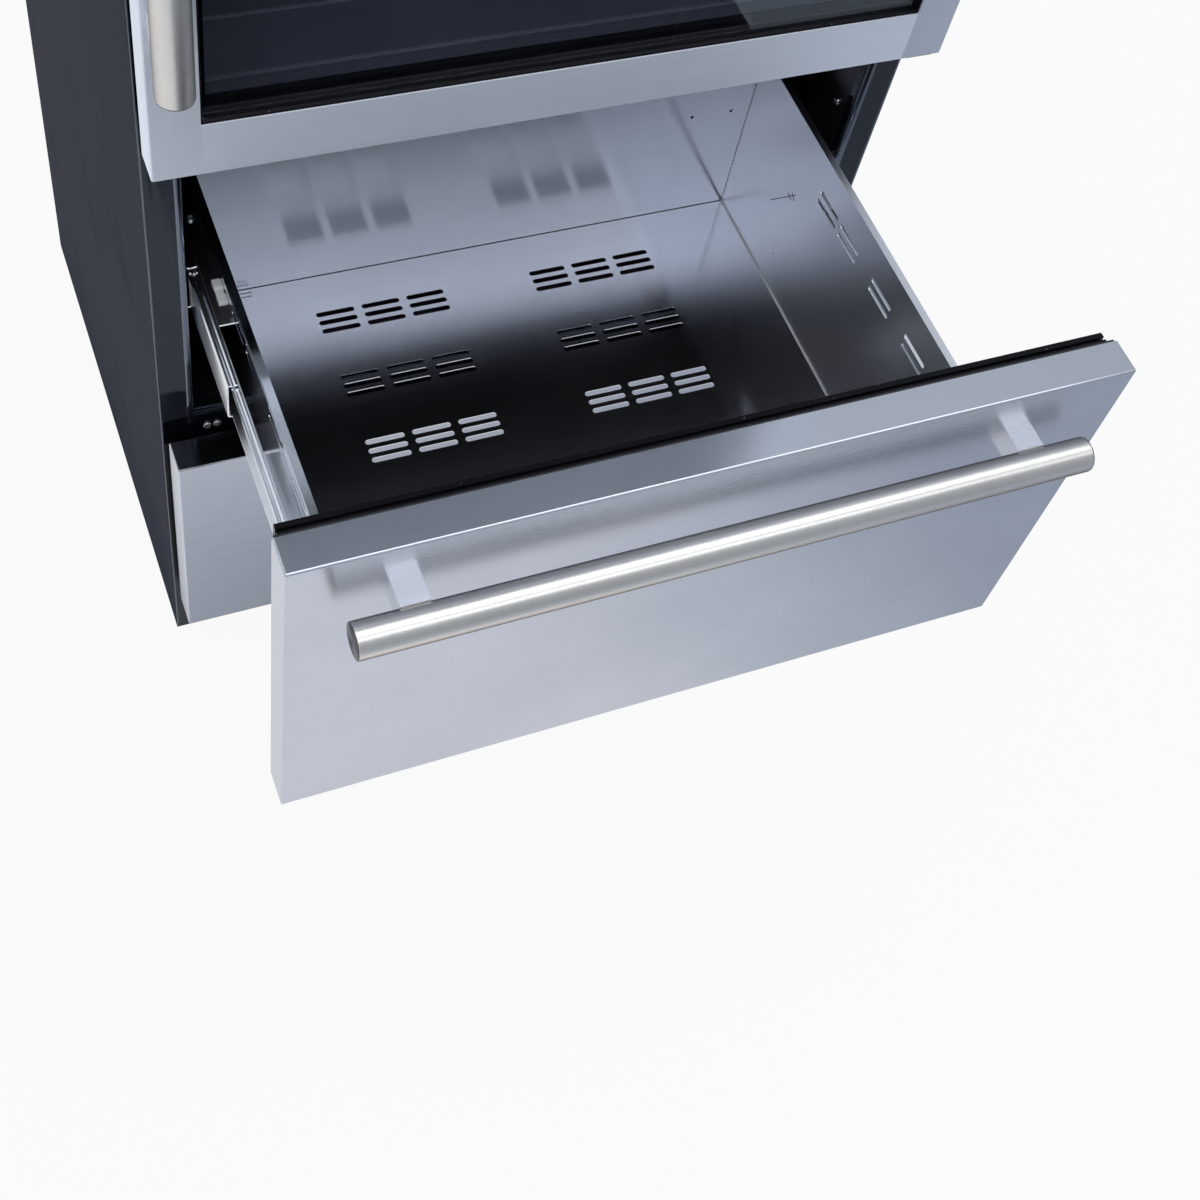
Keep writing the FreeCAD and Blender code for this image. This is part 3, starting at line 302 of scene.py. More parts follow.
def painted(name, bright, dull, rough, wave=(9, 9, 3), wave_depth=0.0, pebble_size=700.0,
            pebble_depth=0.00003, coat=0.0, metallic=0.0, gloss=0.5, sheen_colour=(0.88, 0.94, 1.0)):
    """Painted or moulded surface with slow waves, a fine texture, smudges and dust."""
    _, tree, shader, place = new_finish(name)
    waves = use(tree, WAVES, Place=place, Wave=wave, Pebble_Size=pebble_size)
    marks = use(tree, MARKS, Place=place, Speck_Share=0.04)
    colour = tint(tree, waves["Waves"], dull, bright)
    base_colour = tint(tree, maths(tree, "MULTIPLY", marks["Specks"], 0.6), colour, PAINT_DUST)
    tree.links.new(base_colour, shader.inputs["Base Color"])
    tree.links.new(remap(tree, marks["Smudge"], 0.0, 1.0, *rough), shader.inputs["Roughness"])
    height = maths(tree, "ADD", maths(tree, "MULTIPLY", waves["Waves"], wave_depth),
                   maths(tree, "MULTIPLY", waves["Pebbles"], pebble_depth))
    bump(tree, shader, height, 1.0, 1.0)
    shader.inputs["Metallic"].default_value = metallic
    shader.inputs["Specular IOR Level"].default_value = gloss
    shader.inputs["Specular Tint"].default_value = (*sheen_colour, 1.0)
    shader.inputs["Coat Weight"].default_value = coat
    shader.inputs["Coat Roughness"].default_value = 0.05


def glass(name, colour, rough):
    """Tinted pane with a trace of smears on it; it lets light through to what stands behind it."""
    _, tree, shader, place = new_finish(name)
    marks = use(tree, MARKS, Place=place, Smudge_Size=6.0, Speck_Share=0.03)
    shade = tint(tree, marks["Smudge"], colour, tuple(0.9 * part for part in colour))
    tree.links.new(shade, shader.inputs["Base Color"])
    tree.links.new(remap(tree, marks["Smudge"], 0.0, 1.0, *rough), shader.inputs["Roughness"])
    shader.inputs["Transmission Weight"].default_value = 1.0
    shader.inputs["IOR"].default_value = 1.5
    shader.inputs["Specular Tint"].default_value = (0.80, 0.90, 1.0, 1.0)
    clear = put(tree, "ShaderNodeBsdfTransparent", {"Color": (*colour, 1.0)})
    lit = tree.nodes.new("ShaderNodeLightPath").outputs["Is Shadow Ray"]
    pane = put(tree, "ShaderNodeMixShader", {0: lit, 1: shader.outputs[0], 2: clear.outputs[0]})
    tree.links.new(pane.outputs[0], tree.nodes["Material Output"].inputs["Surface"])


def wooden(name):
    """Oiled wood of the shelves, its grain along x."""
    _, tree, shader, place = new_finish(name)
    grain = use(tree, WOOD, Place=place)
    colour = tint(tree, grain["Rings"], (0.30, 0.165, 0.075), (0.46, 0.29, 0.15))
    dark = tint(tree, maths(tree, "MULTIPLY", grain["Pores"], 0.5), colour, (0.16, 0.08, 0.035))
    tree.links.new(dark, shader.inputs["Base Color"])
    tree.links.new(remap(tree, grain["Rings"], 0.0, 1.0, 0.42, 0.55), shader.inputs["Roughness"])
    bump(tree, shader, grain["Pores"], 0.4, -0.0003)


# Finishes: two colours, the range of roughness, and what differs from the maker's usual values

STEEL = (0.605, 0.635, 0.715)
STEEL_DULL = (0.495, 0.525, 0.605)
RAIL = (0.88, 0.92, 1.0)
RAIL_DULL = (0.80, 0.84, 0.93)
POST = (0.85, 0.86, 0.88)
POST_DULL = (0.77, 0.78, 0.80)
TUB = (0.84, 0.86, 0.91)
TUB_DULL = (0.76, 0.78, 0.83)
# Painted shade: the tub's back wall takes a far darker copy of the tub's steel
TUB_BACK = (0.31, 0.33, 0.38)
TUB_BACK_DULL = (0.27, 0.29, 0.34)
BAR = (0.79, 0.775, 0.755)
BAR_DULL = (0.71, 0.695, 0.675)
# Painted shade: the turned ends take a far darker steel than the bars, standing in for the dark they mirror
CAP = (0.12, 0.12, 0.124)
CAP_DULL = (0.05, 0.05, 0.053)
SHEET_WAVE = (60, 60, 13)
brushed("front_steel", STEEL, STEEL_DULL, X_AXIS, (0.26, 0.32), 0.75, folds=0.17)
# Painted shade: the kick's level top is a quarter as bright, standing in for the dark it mirrors
brushed("kick_steel", STEEL, STEEL_DULL, X_AXIS, (0.22, 0.28), 0.6, folds=0.2, fold_painted_shade=0.25)
brushed("rail_steel", RAIL, RAIL_DULL, X_AXIS, (0.66, 0.72), 0.5, folds=0.7)
brushed("stile_steel", RAIL, RAIL_DULL, Z_AXIS, (0.66, 0.72), 0.5)
brushed("post_steel", POST, POST_DULL, X_AXIS, (0.14, 0.20), 0.2)
brushed("tub_floor_steel", TUB, TUB_DULL, X_AXIS, (0.12, 0.17), 0.5, specks=0.12)
brushed("tub_wall_steel", TUB, TUB_DULL, Y_AXIS, (0.30, 0.36), 0.4, specks=0.12, line_depth=0.0000015)
brushed("tub_side_steel", TUB, TUB_DULL, Y_AXIS, (0.09, 0.14), 0.3, specks=0.12, line_depth=0.0000015)
# Painted shade: darker copy of the tub steel for the back wall
brushed("tub_back_steel_painted_shade", TUB_BACK, TUB_BACK_DULL, X_AXIS, (0.13, 0.18), 0.9, specks=0.12)
brushed("drawer_bar_steel", BAR, BAR_DULL, X_AXIS, (0.34, 0.38), 0.55, ringed=True, line_depth=0.0,
        specks=0.01)
brushed("door_bar_steel", BAR, BAR_DULL, Z_AXIS, (0.40, 0.44), 0.30, ringed=True, line_depth=0.0,
        specks=0.01)
# Painted shade: dark steel on the bar ends
turned("turned_steel_painted_shade", CAP, CAP_DULL)
painted("seam_dark", (0.012, 0.012, 0.015), (0.006, 0.006, 0.008), (0.5, 0.65), gloss=0.2)
# Painted highlight: the tub's floor-to-wall bends are a pale, mostly non-metal grey showing the bright line
# their bend catches
painted("bend_painted_highlight", (0.84, 0.86, 0.90), (0.74, 0.76, 0.80), (0.35, 0.45), metallic=0.3)
brushed("screw_zinc", (0.66, 0.67, 0.70), (0.50, 0.51, 0.54), Z_AXIS, (0.2, 0.3), 0.0, cloud_size=200.0)
brushed("slide_zinc", (0.93, 0.94, 0.96), (0.82, 0.84, 0.88), Y_AXIS, (0.20, 0.28), 0.2)
brushed("rear_zinc", (0.62, 0.63, 0.65), (0.50, 0.51, 0.53), Z_AXIS, (0.38, 0.50), 0.1, cloud_size=75.0)
painted("side_black", (0.028, 0.034, 0.054), (0.024, 0.029, 0.047), (0.60, 0.66), gloss=0.02,
        sheen_colour=(0.72, 0.84, 1.0))
painted("frame_black", (0.005, 0.006, 0.009), (0.003, 0.004, 0.006), (0.08, 0.16), wave=SHEET_WAVE,
        wave_depth=0.0009, pebble_depth=0.000005, gloss=0.42, sheen_colour=(0.60, 0.74, 1.0))
# Painted highlight: the side panels' folded front edges take a grey several times lighter than the panels'
# black
painted("fold_painted_highlight", (0.09, 0.105, 0.15), (0.06, 0.07, 0.10), (0.2, 0.3), gloss=0.9)
painted("ridge_black", (0.16, 0.18, 0.225), (0.10, 0.115, 0.15), (0.08, 0.16), wave=SHEET_WAVE,
        wave_depth=0.0009, pebble_depth=0.000005, metallic=0.9)
painted("liner_black", (0.010, 0.010, 0.013), (0.007, 0.007, 0.009), (0.3, 0.42))
painted("liner_grey", (0.36, 0.37, 0.40), (0.30, 0.31, 0.34), (0.3, 0.42))
painted("rib_grey", (0.62, 0.64, 0.68), (0.54, 0.56, 0.60), (0.3, 0.42))
painted("moulded_black", (0.013, 0.013, 0.015), (0.009, 0.009, 0.011), (0.38, 0.5))
painted("steel_black", (0.020, 0.020, 0.023), (0.014, 0.014, 0.017), (0.3, 0.45))
painted("seal_black", (0.006, 0.006, 0.008), (0.004, 0.004, 0.006), (0.3, 0.42), wave=(40, 40, 40),
        wave_depth=0.0004, gloss=0.1)
painted("cage_white", (0.92, 0.92, 0.91), (0.86, 0.86, 0.85), (0.35, 0.45))
painted("foam_cream", (0.72, 0.66, 0.46), (0.60, 0.54, 0.36), (0.85, 0.95), pebble_size=350.0,
        pebble_depth=0.0004)
painted("display_black", (0.008, 0.008, 0.010), (0.006, 0.006, 0.008), (0.06, 0.12), coat=0.5)
painted("diffuser_white", (0.86, 0.87, 0.90), (0.80, 0.81, 0.84), (0.4, 0.5))
painted("spacer_grey", (0.05, 0.05, 0.055), (0.035, 0.035, 0.04), (0.35, 0.45), metallic=0.6)
glass("door_glass", (0.72, 0.74, 0.79), (0.0, 0.02))
wooden("shelf_wood")

DRESS = {
    "front_steel": ("drawer_front_skin",),
    "kick_steel": ("kick_panel",),
    "post_steel": ("drawer_handle_posts", "door_handle_posts"),
    "rail_steel": ("door_rail_bottom", "door_rail_top"),
    "stile_steel": ("door_stile_left", "door_stile_right"),
    "tub_floor_steel": ("tub_floor",),
    "tub_wall_steel": ("tub_wall_right",),
    "tub_side_steel": ("tub_wall_left",),
    "tub_back_steel_painted_shade": ("tub_back",),
    "drawer_bar_steel": ("drawer_handle_bar",),
    "door_bar_steel": ("door_handle_bar",),
    "slide_zinc": ("slide_outer_left", "slide_outer_right", "slide_middle_left", "slide_middle_right",
                   "slide_inner_left", "slide_inner_right", "cabinet_screws"),
    "rear_zinc": ("back_panel", "rear_machine_cover"),
    "side_black": ("side_panel_left", "side_panel_right", "top_cover"),
    "frame_black": ("front_frame",),
    "liner_black": ("drawer_liner",),
    "liner_grey": ("upper_liner", "cold_air_cover"),
    "moulded_black": ("power_inlet", "condenser_fan_frame", "condenser_fan_rotor", "drawer_inner_panel",
                      "door_inner_frame", "foot_front_left", "foot_front_right", "foot_rear_left",
                      "foot_rear_right"),
    "steel_black": ("compressor", "condenser_coil", "base_pan", "top_hinge_bracket", "middle_hinge_bracket"),
    "seal_black": ("drawer_gasket", "door_gasket"),
    "cage_white": ("slide_retainer_left", "slide_retainer_right"),
    "foam_cream": ("insulation", "drawer_foam"),
    "display_black": ("control_panel",),
    "diffuser_white": ("light_bar",),
    "spacer_grey": ("door_glass_spacer",),
    "door_glass": ("door_glass_outer", "door_glass_inner"),
    "shelf_wood": ("shelf_1", "shelf_2", "shelf_3", "shelf_4"),
}
for finish_name, dressed in DRESS.items():
    for node_name in dressed:
        NODES[node_name].data.materials.clear()
        NODES[node_name].data.materials.append(FINISHES[finish_name])


# Pieces built over the solids, in metres

TURN = 2.0 * math.pi
HALF_TURN = TURN / 2
QUARTER_TURN = TURN / 4
SMOOTH_ANGLE = math.radians(40.0)
# Shares of the radius: how wide a rod is, and how far in from its end
ROD_END_SHARES = ((0.3, 0.0), (0.8, 0.35), (1.0, 1.0))
AXES = (Vector(X_AXIS), Vector(Y_AXIS), Vector(Z_AXIS))
# The side of x on which each hand's pieces stand
HANDS = {"left": -1.0, "right": 1.0}


def add_piece(name, mesh, finish, body, stands_for=(), place=(0.0, 0.0, 0.0)):
    """Show a mesh in its finish at a place, fix it to a body, and let it stand for CAD nodes."""
    mesh.materials.append(FINISHES[finish])
    piece = bpy.data.objects.new(name, mesh)
    piece.location = place
    bpy.context.scene.collection.objects.link(piece)
    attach(piece, body)
    if stands_for:
        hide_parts(*stands_for)


def skin(name, rings, looped=False, smooth=True):
    """A closed mesh through rings of equally many points; looped joins the last ring to the first."""
    count = len(rings[0])
    points = [tuple(point) for ring in rings for point in ring]
    faces = []
    for here in range(len(rings) - (0 if looped else 1)):
        there = (here + 1) % len(rings)
        for j in range(count):
            k = (j + 1) % count
            faces.append((here * count + j, here * count + k, there * count + k, there * count + j))
    if not looped:
        faces.append(tuple(reversed(range(count))))
        faces.append(tuple(range(len(points) - count, len(points))))
    mesh = bpy.data.meshes.new(name)
    mesh.from_pydata(points, [], faces)
    shape = bmesh.new()
    shape.from_mesh(mesh)
    bmesh.ops.recalc_face_normals(shape, faces=shape.faces)
    shape.to_mesh(mesh)
    shape.free()
    if smooth:
        mesh.shade_smooth()
        mesh.set_sharp_from_angle(angle=SMOOTH_ANGLE)
    return mesh


def joined(name, meshes):
    """Several meshes as one."""
    shape = bmesh.new()
    for mesh in meshes:
        shape.from_mesh(mesh)
    whole = bpy.data.meshes.new(name)
    shape.to_mesh(whole)
    shape.free()
    return whole


def circle(centre, across, third, radius, sides):
    """Points round a centre, in the plane of two directions."""
    ring = []
    for i in range(sides):
        turn = TURN * i / sides
        ring.append(centre + (across * math.cos(turn) + third * math.sin(turn)) * radius)
    return ring


def rod(name, start, end, radius, sides=8):
    """A thin straight bead from one point to another, with rounded ends."""
    start, end = Vector(start), Vector(end)
    along = (end - start).normalized()
    across = along.orthogonal().normalized()
    third = along.cross(across)
    stations = [(start + along * radius * inset, radius * share) for share, inset in ROD_END_SHARES]
    stations += [(start + end - centre, size) for centre, size in reversed(stations)]
    return skin(name, [circle(centre, across, third, size, sides) for centre, size in stations])


# Tub: the seam at the back, stitched corners, small marks, and the bends along the side walls

TUB_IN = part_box("tub_wall_right")[0][0]
TUB_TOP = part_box("tub_wall_right")[1][2]
TUB_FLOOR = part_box("tub_floor")[1][2]
TUB_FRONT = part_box("tub_floor")[0][1]
TUB_BACK_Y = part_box("tub_back")[0][1]
SEAM = 0.0005
STITCH = 0.0028
STITCH_STEP = 0.0047
FINE_SIDES = 6
SCRATCH = 0.00035
# Both ends of each mark, on the floor and on the right wall
TUB_SCRATCHES = (
    ((-0.2060, 0.0385, TUB_FLOOR), (-0.1960, 0.0385, TUB_FLOOR)),
    ((-0.2060, 0.0345, TUB_FLOOR), (-0.1965, 0.0345, TUB_FLOOR)),
    ((TUB_IN, -0.0266, 0.4422), (TUB_IN, -0.0575, 0.4800)),
    ((TUB_IN, -0.0464, 0.4710), (TUB_IN, -0.0534, 0.4698)),
    ((TUB_IN, -0.0520, 0.4770), (TUB_IN, -0.0580, 0.4730)),
    ((TUB_IN, -0.0545, 0.4030), (TUB_IN, -0.0540, 0.4050)),
)
BEND = 0.0015
BEND_STEPS = 8
BEND_GAP = 0.0005


def tub_seams():
    """The line where the floor meets the back, and the stitches up both back corners."""
    pieces = [rod("seam", (-TUB_IN, TUB_BACK_Y, TUB_FLOOR), (TUB_IN, TUB_BACK_Y, TUB_FLOOR), SEAM)]
    rows = int((TUB_TOP - TUB_FLOOR) / STITCH_STEP)
    for side in HANDS.values():
        corner = side * TUB_IN
        for i in range(rows):
            low = TUB_FLOOR + (i + 0.5) * STITCH_STEP
            start, end = (corner, TUB_BACK_Y, low), (corner, TUB_BACK_Y, low + STITCH)
            pieces.append(rod("stitch", start, end, SEAM, FINE_SIDES))
    add_piece("tub_seams", joined("tub_seams", pieces), "seam_dark", "drawer")


def tub_marks():
    """Small scratches and a dent in the sheet, as thin dark lines."""
    scratches = [rod("scratch", start, end, SCRATCH, FINE_SIDES) for start, end in TUB_SCRATCHES]
    add_piece("tub_marks", joined("tub_marks", scratches), "seam_dark", "drawer")


def tub_bend(hand, side):
    """The rounded fold between the floor and a side wall, pale to paint on the highlight along the bend."""
    rings = []
    for y in (TUB_FRONT + BEND_GAP, TUB_BACK_Y - BEND_GAP):
        arc = []
        for i in range(BEND_STEPS + 1):
            turn = QUARTER_TURN * i / BEND_STEPS
            x = TUB_IN - BEND + BEND * math.sin(turn)
            arc.append((side * x, y, TUB_FLOOR + BEND - BEND * math.cos(turn)))
        arc.append((side * TUB_IN, y, TUB_FLOOR))
        rings.append(arc)
    name = "tub_bend_" + hand
    add_piece(name, skin(name, rings), "bend_painted_highlight", "drawer")


tub_seams()
tub_marks()
for hand_name, hand_side in HANDS.items():
    tub_bend(hand_name, hand_side)


# Bar handles: the ground bars, and their turned and chamfered ends

BAR_SIDES = 120
BAR_CHAMFER = 0.0008
CAP_SIDES = 48
CAP_THICK = 0.0006
# Radius, and share of the thickness
CAP_PROFILE = ((0.0006, 0.4), (0.0022, 0.55), (0.0030, 1.0), (0.0105, 1.0), (0.0123, 0.0))


def bar_shape(node, axis):
    """A bar's low and high corners, and the two directions across it."""
    low, high = (Vector(corner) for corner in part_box(node))
    across, third = [direction for i, direction in enumerate(AXES) if i != axis]
    return low, high, across, third


def round_bar(node, axis, finish, body):
    """A straight ground bar with chamfered ends, along one axis."""
    low, high, across, third = bar_shape(node, axis)
    radius = (high - low).dot(across) / 2
    rings = []
    for place, size in ((low[axis], radius - BAR_CHAMFER), (low[axis] + BAR_CHAMFER, radius),
                        (high[axis] - BAR_CHAMFER, radius), (high[axis], radius - BAR_CHAMFER)):
        centre = (low + high) / 2
        centre[axis] = place
        rings.append(circle(centre, across, third, size, BAR_SIDES))
    name = node + "_ground"
    add_piece(name, skin(name, rings), finish, body, (node,))


def bar_end(name, node, axis, at_high, body):
    """A turned disc on one end of a bar, its middle slightly dimpled and its rim chamfered."""
    low, high, across, third = bar_shape(node, axis)
    centre = (low + high) / 2
    centre[axis] = high[axis] if at_high else low[axis]
    outward = AXES[axis] * (CAP_THICK if at_high else -CAP_THICK)
    rings = [circle(outward * share, across, third, radius, CAP_SIDES) for radius, share in CAP_PROFILE]
    add_piece(name, skin(name, rings), "turned_steel_painted_shade", body, place=centre)


round_bar("drawer_handle_bar", 0, "drawer_bar_steel", "drawer")
round_bar("door_handle_bar", 2, "door_bar_steel", "door")
bar_end("drawer_bar_end_left", "drawer_handle_bar", 0, False, "drawer")
bar_end("drawer_bar_end_right", "drawer_handle_bar", 0, True, "drawer")
bar_end("door_bar_end_low", "door_handle_bar", 2, False, "door")
bar_end("door_bar_end_high", "door_handle_bar", 2, True, "door")


# Screws: crossed heads in place of the plain ones, and the fixings at the back

SCREW_RADIUS = 0.0035
SCREW_RISE = 0.0024
SCREW_RIM_SHARE = 0.35
SCREW_SIDES = 40
SCREW_STEPS = 12
SCREW_TURN = 0.7
CROSS_HALF_WIDTH = 0.00055
CROSS_HALF_LENGTH = 0.0019
CROSS_DEPTH = 0.0013
SILL_SCREW_X = (-0.260, -0.252, 0.252, 0.260)
SILL_SCREW_Y = -0.0573
SILL_SCREW_Z = 0.332
WALL_SCREW_X = 0.2700
WALL_SCREW_Y = -0.0352
WALL_SCREW_Z = 0.5605
HINGE_SCREW_X = 0.2715
HINGE_SCREW_Y = (-0.0422, -0.0172, 0.0078)
REAR_INSET = 0.014
REAR_STEPS = 4


def pan_head(name, seat, outward, turn):
    """A pan-head screw on its seat, with a crossed recess turned by some angle."""
    seat, outward = Vector(seat), Vector(outward)
    across = outward.orthogonal().normalized()
    third = outward.cross(across)
    rings = [circle(seat, across, third, SCREW_RADIUS, SCREW_SIDES)]
    for step in range(SCREW_STEPS, 0, -1):
        share = step / SCREW_STEPS
        dome = (1.0 - SCREW_RIM_SHARE) * math.sqrt(max(0.0, 1.0 - share ** 4))
        ring = []
        for i in range(SCREW_SIDES):
            u = SCREW_RADIUS * share * math.cos(TURN * i / SCREW_SIDES)
            v = SCREW_RADIUS * share * math.sin(TURN * i / SCREW_SIDES)
            p = abs(u * math.cos(turn) + v * math.sin(turn))
            q = abs(v * math.cos(turn) - u * math.sin(turn))
            rise = SCREW_RISE * (SCREW_RIM_SHARE + dome)
            if min(p, q) < CROSS_HALF_WIDTH and max(p, q) < CROSS_HALF_LENGTH:
                rise -= CROSS_DEPTH
            ring.append(seat + across * u + third * v + outward * rise)
        rings.append(ring)
    return skin(name, rings)


def frame_screws():
    """The heads on the frame's sill, on the compartment's side walls and on the top hinge bracket."""
    bracket_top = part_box("top_hinge_bracket")[1][2]
    seats = [((x, SILL_SCREW_Y, SILL_SCREW_Z), (0, -1, 0)) for x in SILL_SCREW_X]
    seats += [((side * WALL_SCREW_X, WALL_SCREW_Y, WALL_SCREW_Z), (-side, 0, 0)) for side in HANDS.values()]
    seats += [((HINGE_SCREW_X, y, bracket_top), Z_AXIS) for y in HINGE_SCREW_Y]
    heads = [pan_head("screw", seat, outward, SCREW_TURN * i) for i, (seat, outward) in enumerate(seats)]
    whole = joined("frame_screws", heads)
    add_piece("frame_screws", whole, "screw_zinc", "cabinet", ("cabinet_screws",))


def rear_fixings():
    """Screws round the back panel and the machine cover, and the line where the two sheets meet."""
    cover_low, cover_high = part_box("rear_machine_cover")
    panel_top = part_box("back_panel")[1][2]
    back, meet = cover_high[1], cover_high[2]
    edge = cover_high[0] - REAR_INSET
    rows = (cover_low[2] + REAR_INSET, meet - REAR_INSET, meet + REAR_INSET, panel_top - REAR_INSET)
    seats = [(x, back, z) for z in rows for x in (-edge, 0.0, edge)]
    for i in range(1, REAR_STEPS):
        height = meet + (panel_top - meet) * i / REAR_STEPS
        seats += [(-edge, back, height), (edge, back, height)]
    heads = [pan_head("screw", seat, Y_AXIS, SCREW_TURN * i) for i, seat in enumerate(seats)]
    add_piece("rear_screws", joined("rear_screws", heads), "screw_zinc", "cabinet")
    seam = rod("rear_seam", (cover_low[0], back, meet), (cover_high[0], back, meet), SEAM)
    add_piece("rear_seam", seam, "seam_dark", "cabinet")


frame_screws()
rear_fixings()


# Slides: rolled members with rounded edges and ball races, and the inner ones' plates and stops

SLIDE_SHEET = 0.0012
SLIDE_BEND = 0.0022
SLIDE_BEND_STEPS = 5
# How far from the middle a member's web stands, and how far its edges reach
SLIDE_WEB_AND_TIP = {"outer": (0.2700, 0.2590), "middle": (0.2670, 0.2585), "inner": (0.2568, 0.2645)}
RACE_DEPTH = 0.0007
RACE_SHARES = (0.18, 0.34, 0.56, 0.70)
PLATE_SLIDE_X = 0.2574
PLATE_WALL_X = 0.2447
PLATE_SHEET = 0.0015
PLATE_CHAMFER = 0.0003
PLATE_FRONT = 0.156
PLATE_REAR = 0.125
RIVET_FRONT = 0.078
RIVET_REAR = 0.020
RIVET_SINK = 0.0001
STOP_SLIDE_X = 0.2518
STOP_WALL_X = 0.2449
STOP_FLAT_SHARE = 0.8
STOP_FRONT = -0.0782
STOP_STEP = 0.0018
STOP_RINGS = 13
STOP_FOOT = 0.5050
STOP_TOP = 0.5080
STOP_GROOVE = 0.0020
STOP_SLOPE = 0.0008


def rounded(points):
    """A line in a plane with its corners rounded."""
    line = [Vector(points[0])]
    for before, corner, after in zip(points, points[1:], points[2:]):
        corner = Vector(corner)
        back = Vector(before) - corner
        on = Vector(after) - corner
        reach = min(SLIDE_BEND, back.length / 2, on.length / 2)
        start, end = corner + back.normalized() * reach, corner + on.normalized() * reach
        for i in range(SLIDE_BEND_STEPS + 1):
            share = i / SLIDE_BEND_STEPS
            line.append(start * (1 - share) ** 2 + corner * 2 * share * (1 - share) + end * share ** 2)
    line.append(Vector(points[-1]))
    return line


def thick(line, thickness):
    """The closed outline of a line drawn with a thickness."""
    left, right = [], []
    for i, point in enumerate(line):
        before, after = line[max(i - 1, 0)], line[min(i + 1, len(line) - 1)]
        along = (after - before).normalized()
        side = Vector((-along[1], along[0])) * thickness / 2
        left.append(point + side)
        right.append(point - side)
    return left + right[::-1]


def slide_member(node, web_x, tip_x):
    """A rolled channel along y: its web stands at one x, its edges reach another, and its top has a race."""
    low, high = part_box(node)
    inward = math.copysign(SLIDE_SHEET / 2, tip_x - web_x)
    web, tip = web_x + inward, tip_x - inward
    top, bottom = high[2] - SLIDE_SHEET / 2, low[2] + SLIDE_SHEET / 2
    lip, slope, far_slope, flat = (tip - share * (tip - web) for share in RACE_SHARES)
    points = [(tip, top), (lip, top), (slope, top - RACE_DEPTH), (far_slope, top - RACE_DEPTH), (flat, top),
              (web, top), (web, bottom), (tip, bottom)]
    outline = thick(rounded(points), SLIDE_SHEET)
    return skin(node, [[(x, y, z) for x, z in outline] for y in (low[1], high[1])])


def slide_plates(side, low, high):
    """The flat plates that carry the tub on an inner member, at its front and back, with a rivet on each."""
    slide, wall = side * PLATE_SLIDE_X, side * PLATE_WALL_X
    top = high[2]
    outline = [(slide, top - PLATE_SHEET), (wall, top - PLATE_SHEET), (wall, top - PLATE_CHAMFER),
               (wall + side * PLATE_CHAMFER, top), (slide, top)]
    plates = []
    for start, end, rivet in ((low[1], low[1] + PLATE_FRONT, low[1] + RIVET_FRONT),
                              (high[1] - PLATE_REAR, high[1], high[1] - RIVET_REAR)):
        rings = [[(x, y, z) for x, z in outline] for y in (start, end)]
        plates.append(skin("plate", rings, smooth=False))
        plates.append(pan_head("rivet", ((slide + wall) / 2, rivet, top - RIVET_SINK), Z_AXIS, 0.0))
    return plates


def add_slide(hand, side):
    """The three rolled members of one slide, the inner one with its plates."""
    for part, body in (("outer", "cabinet"), ("middle", "slide_middle_" + hand), ("inner", "drawer")):
        node = "slide_" + part + "_" + hand
        web, tip = SLIDE_WEB_AND_TIP[part]
        parts = [slide_member(node, side * web, side * tip)]
        if part == "inner":
            parts += slide_plates(side, *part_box(node))
        name = node + "_rolled"
        add_piece(name, joined(name, parts), "slide_zinc", body, (node,))


def slide_stop(hand, side):
    """White moulded stop on the inner member's rear plate, with a groove across its middle."""
    slide, wall = side * STOP_SLIDE_X, side * STOP_WALL_X
    slope = slide + (wall - slide) * STOP_FLAT_SHARE
    rings = []
    for i in range(STOP_RINGS):
        y = STOP_FRONT + STOP_STEP * i
        top = STOP_TOP - (STOP_GROOVE if abs(i - STOP_RINGS // 2) <= 1 else 0.0)
        rings.append([(slide, y, STOP_FOOT), (wall, y, STOP_FOOT), (wall, y, top - STOP_SLOPE),
                      (slope, y, top), (slide, y, top)])
    name = "slide_stop_" + hand
    add_piece(name, skin(name, rings), "cage_white", "drawer")


for hand_name, hand_side in HANDS.items():
    add_slide(hand_name, hand_side)
    slide_stop(hand_name, hand_side)


# Black bead that holds the door glass in its frame

BEAD_WIDE = 0.0022
BEAD_STEPS = 6
BEAD_SET_BACK = 0.0012
BEAD_TUCK = 0.0004


def glass_bead():
    """A quarter-round bead on the outer glass, round its opening."""
    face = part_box("door_glass_outer")[0][1]
    rail_low, rail_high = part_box("door_rail_bottom")
    front = rail_low[1] + BEAD_SET_BACK
    low, high = rail_high[2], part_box("door_rail_top")[0][2]
    open_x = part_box("door_stile_right")[0][0]
    profile = [(-BEAD_TUCK, face), (-BEAD_TUCK, front)]
    for i in range(1, BEAD_STEPS + 1):
        turn = QUARTER_TURN * i / BEAD_STEPS
        profile.append((BEAD_WIDE * math.sin(turn), face + (front - face) * math.cos(turn)))
    rings = []
    for side, at_top in ((-1, False), (1, False), (1, True), (-1, True)):
        rings.append([(side * (open_x - inset), y, high - inset if at_top else low + inset)
                      for inset, y in profile])
    mesh = skin("door_glass_bead", rings, looped=True)
    add_piece("door_glass_bead", mesh, "seal_black", "door")


glass_bead()


# Ribs of the upper liner, ridges of the front frame, and folded front edges of the side panels

LINER_SHEET = 0.0012
RIB = 0.0016
RIB_INSET = 0.006
RIB_PLACES = (-0.034, 0.022)
RIDGE = 0.0029
RIDGE_X = 0.2731
RIDGE_ROOT = 0.0004
RIDGE_STEPS = 12
FLAT_SHARE = 0.08
# Height above the floor, and share of the full rise
RIDGE_RISES = ((0.3370, FLAT_SHARE), (0.3600, FLAT_SHARE), (0.3650, 1.0),
               (0.6230, 1.0), (0.6280, FLAT_SHARE), (0.6470, FLAT_SHARE))
FOLD = 0.0011
FOLD_SIDES = 12
FOLD_SET_BACK = 0.0006
FOLD_END_GAP = 0.002


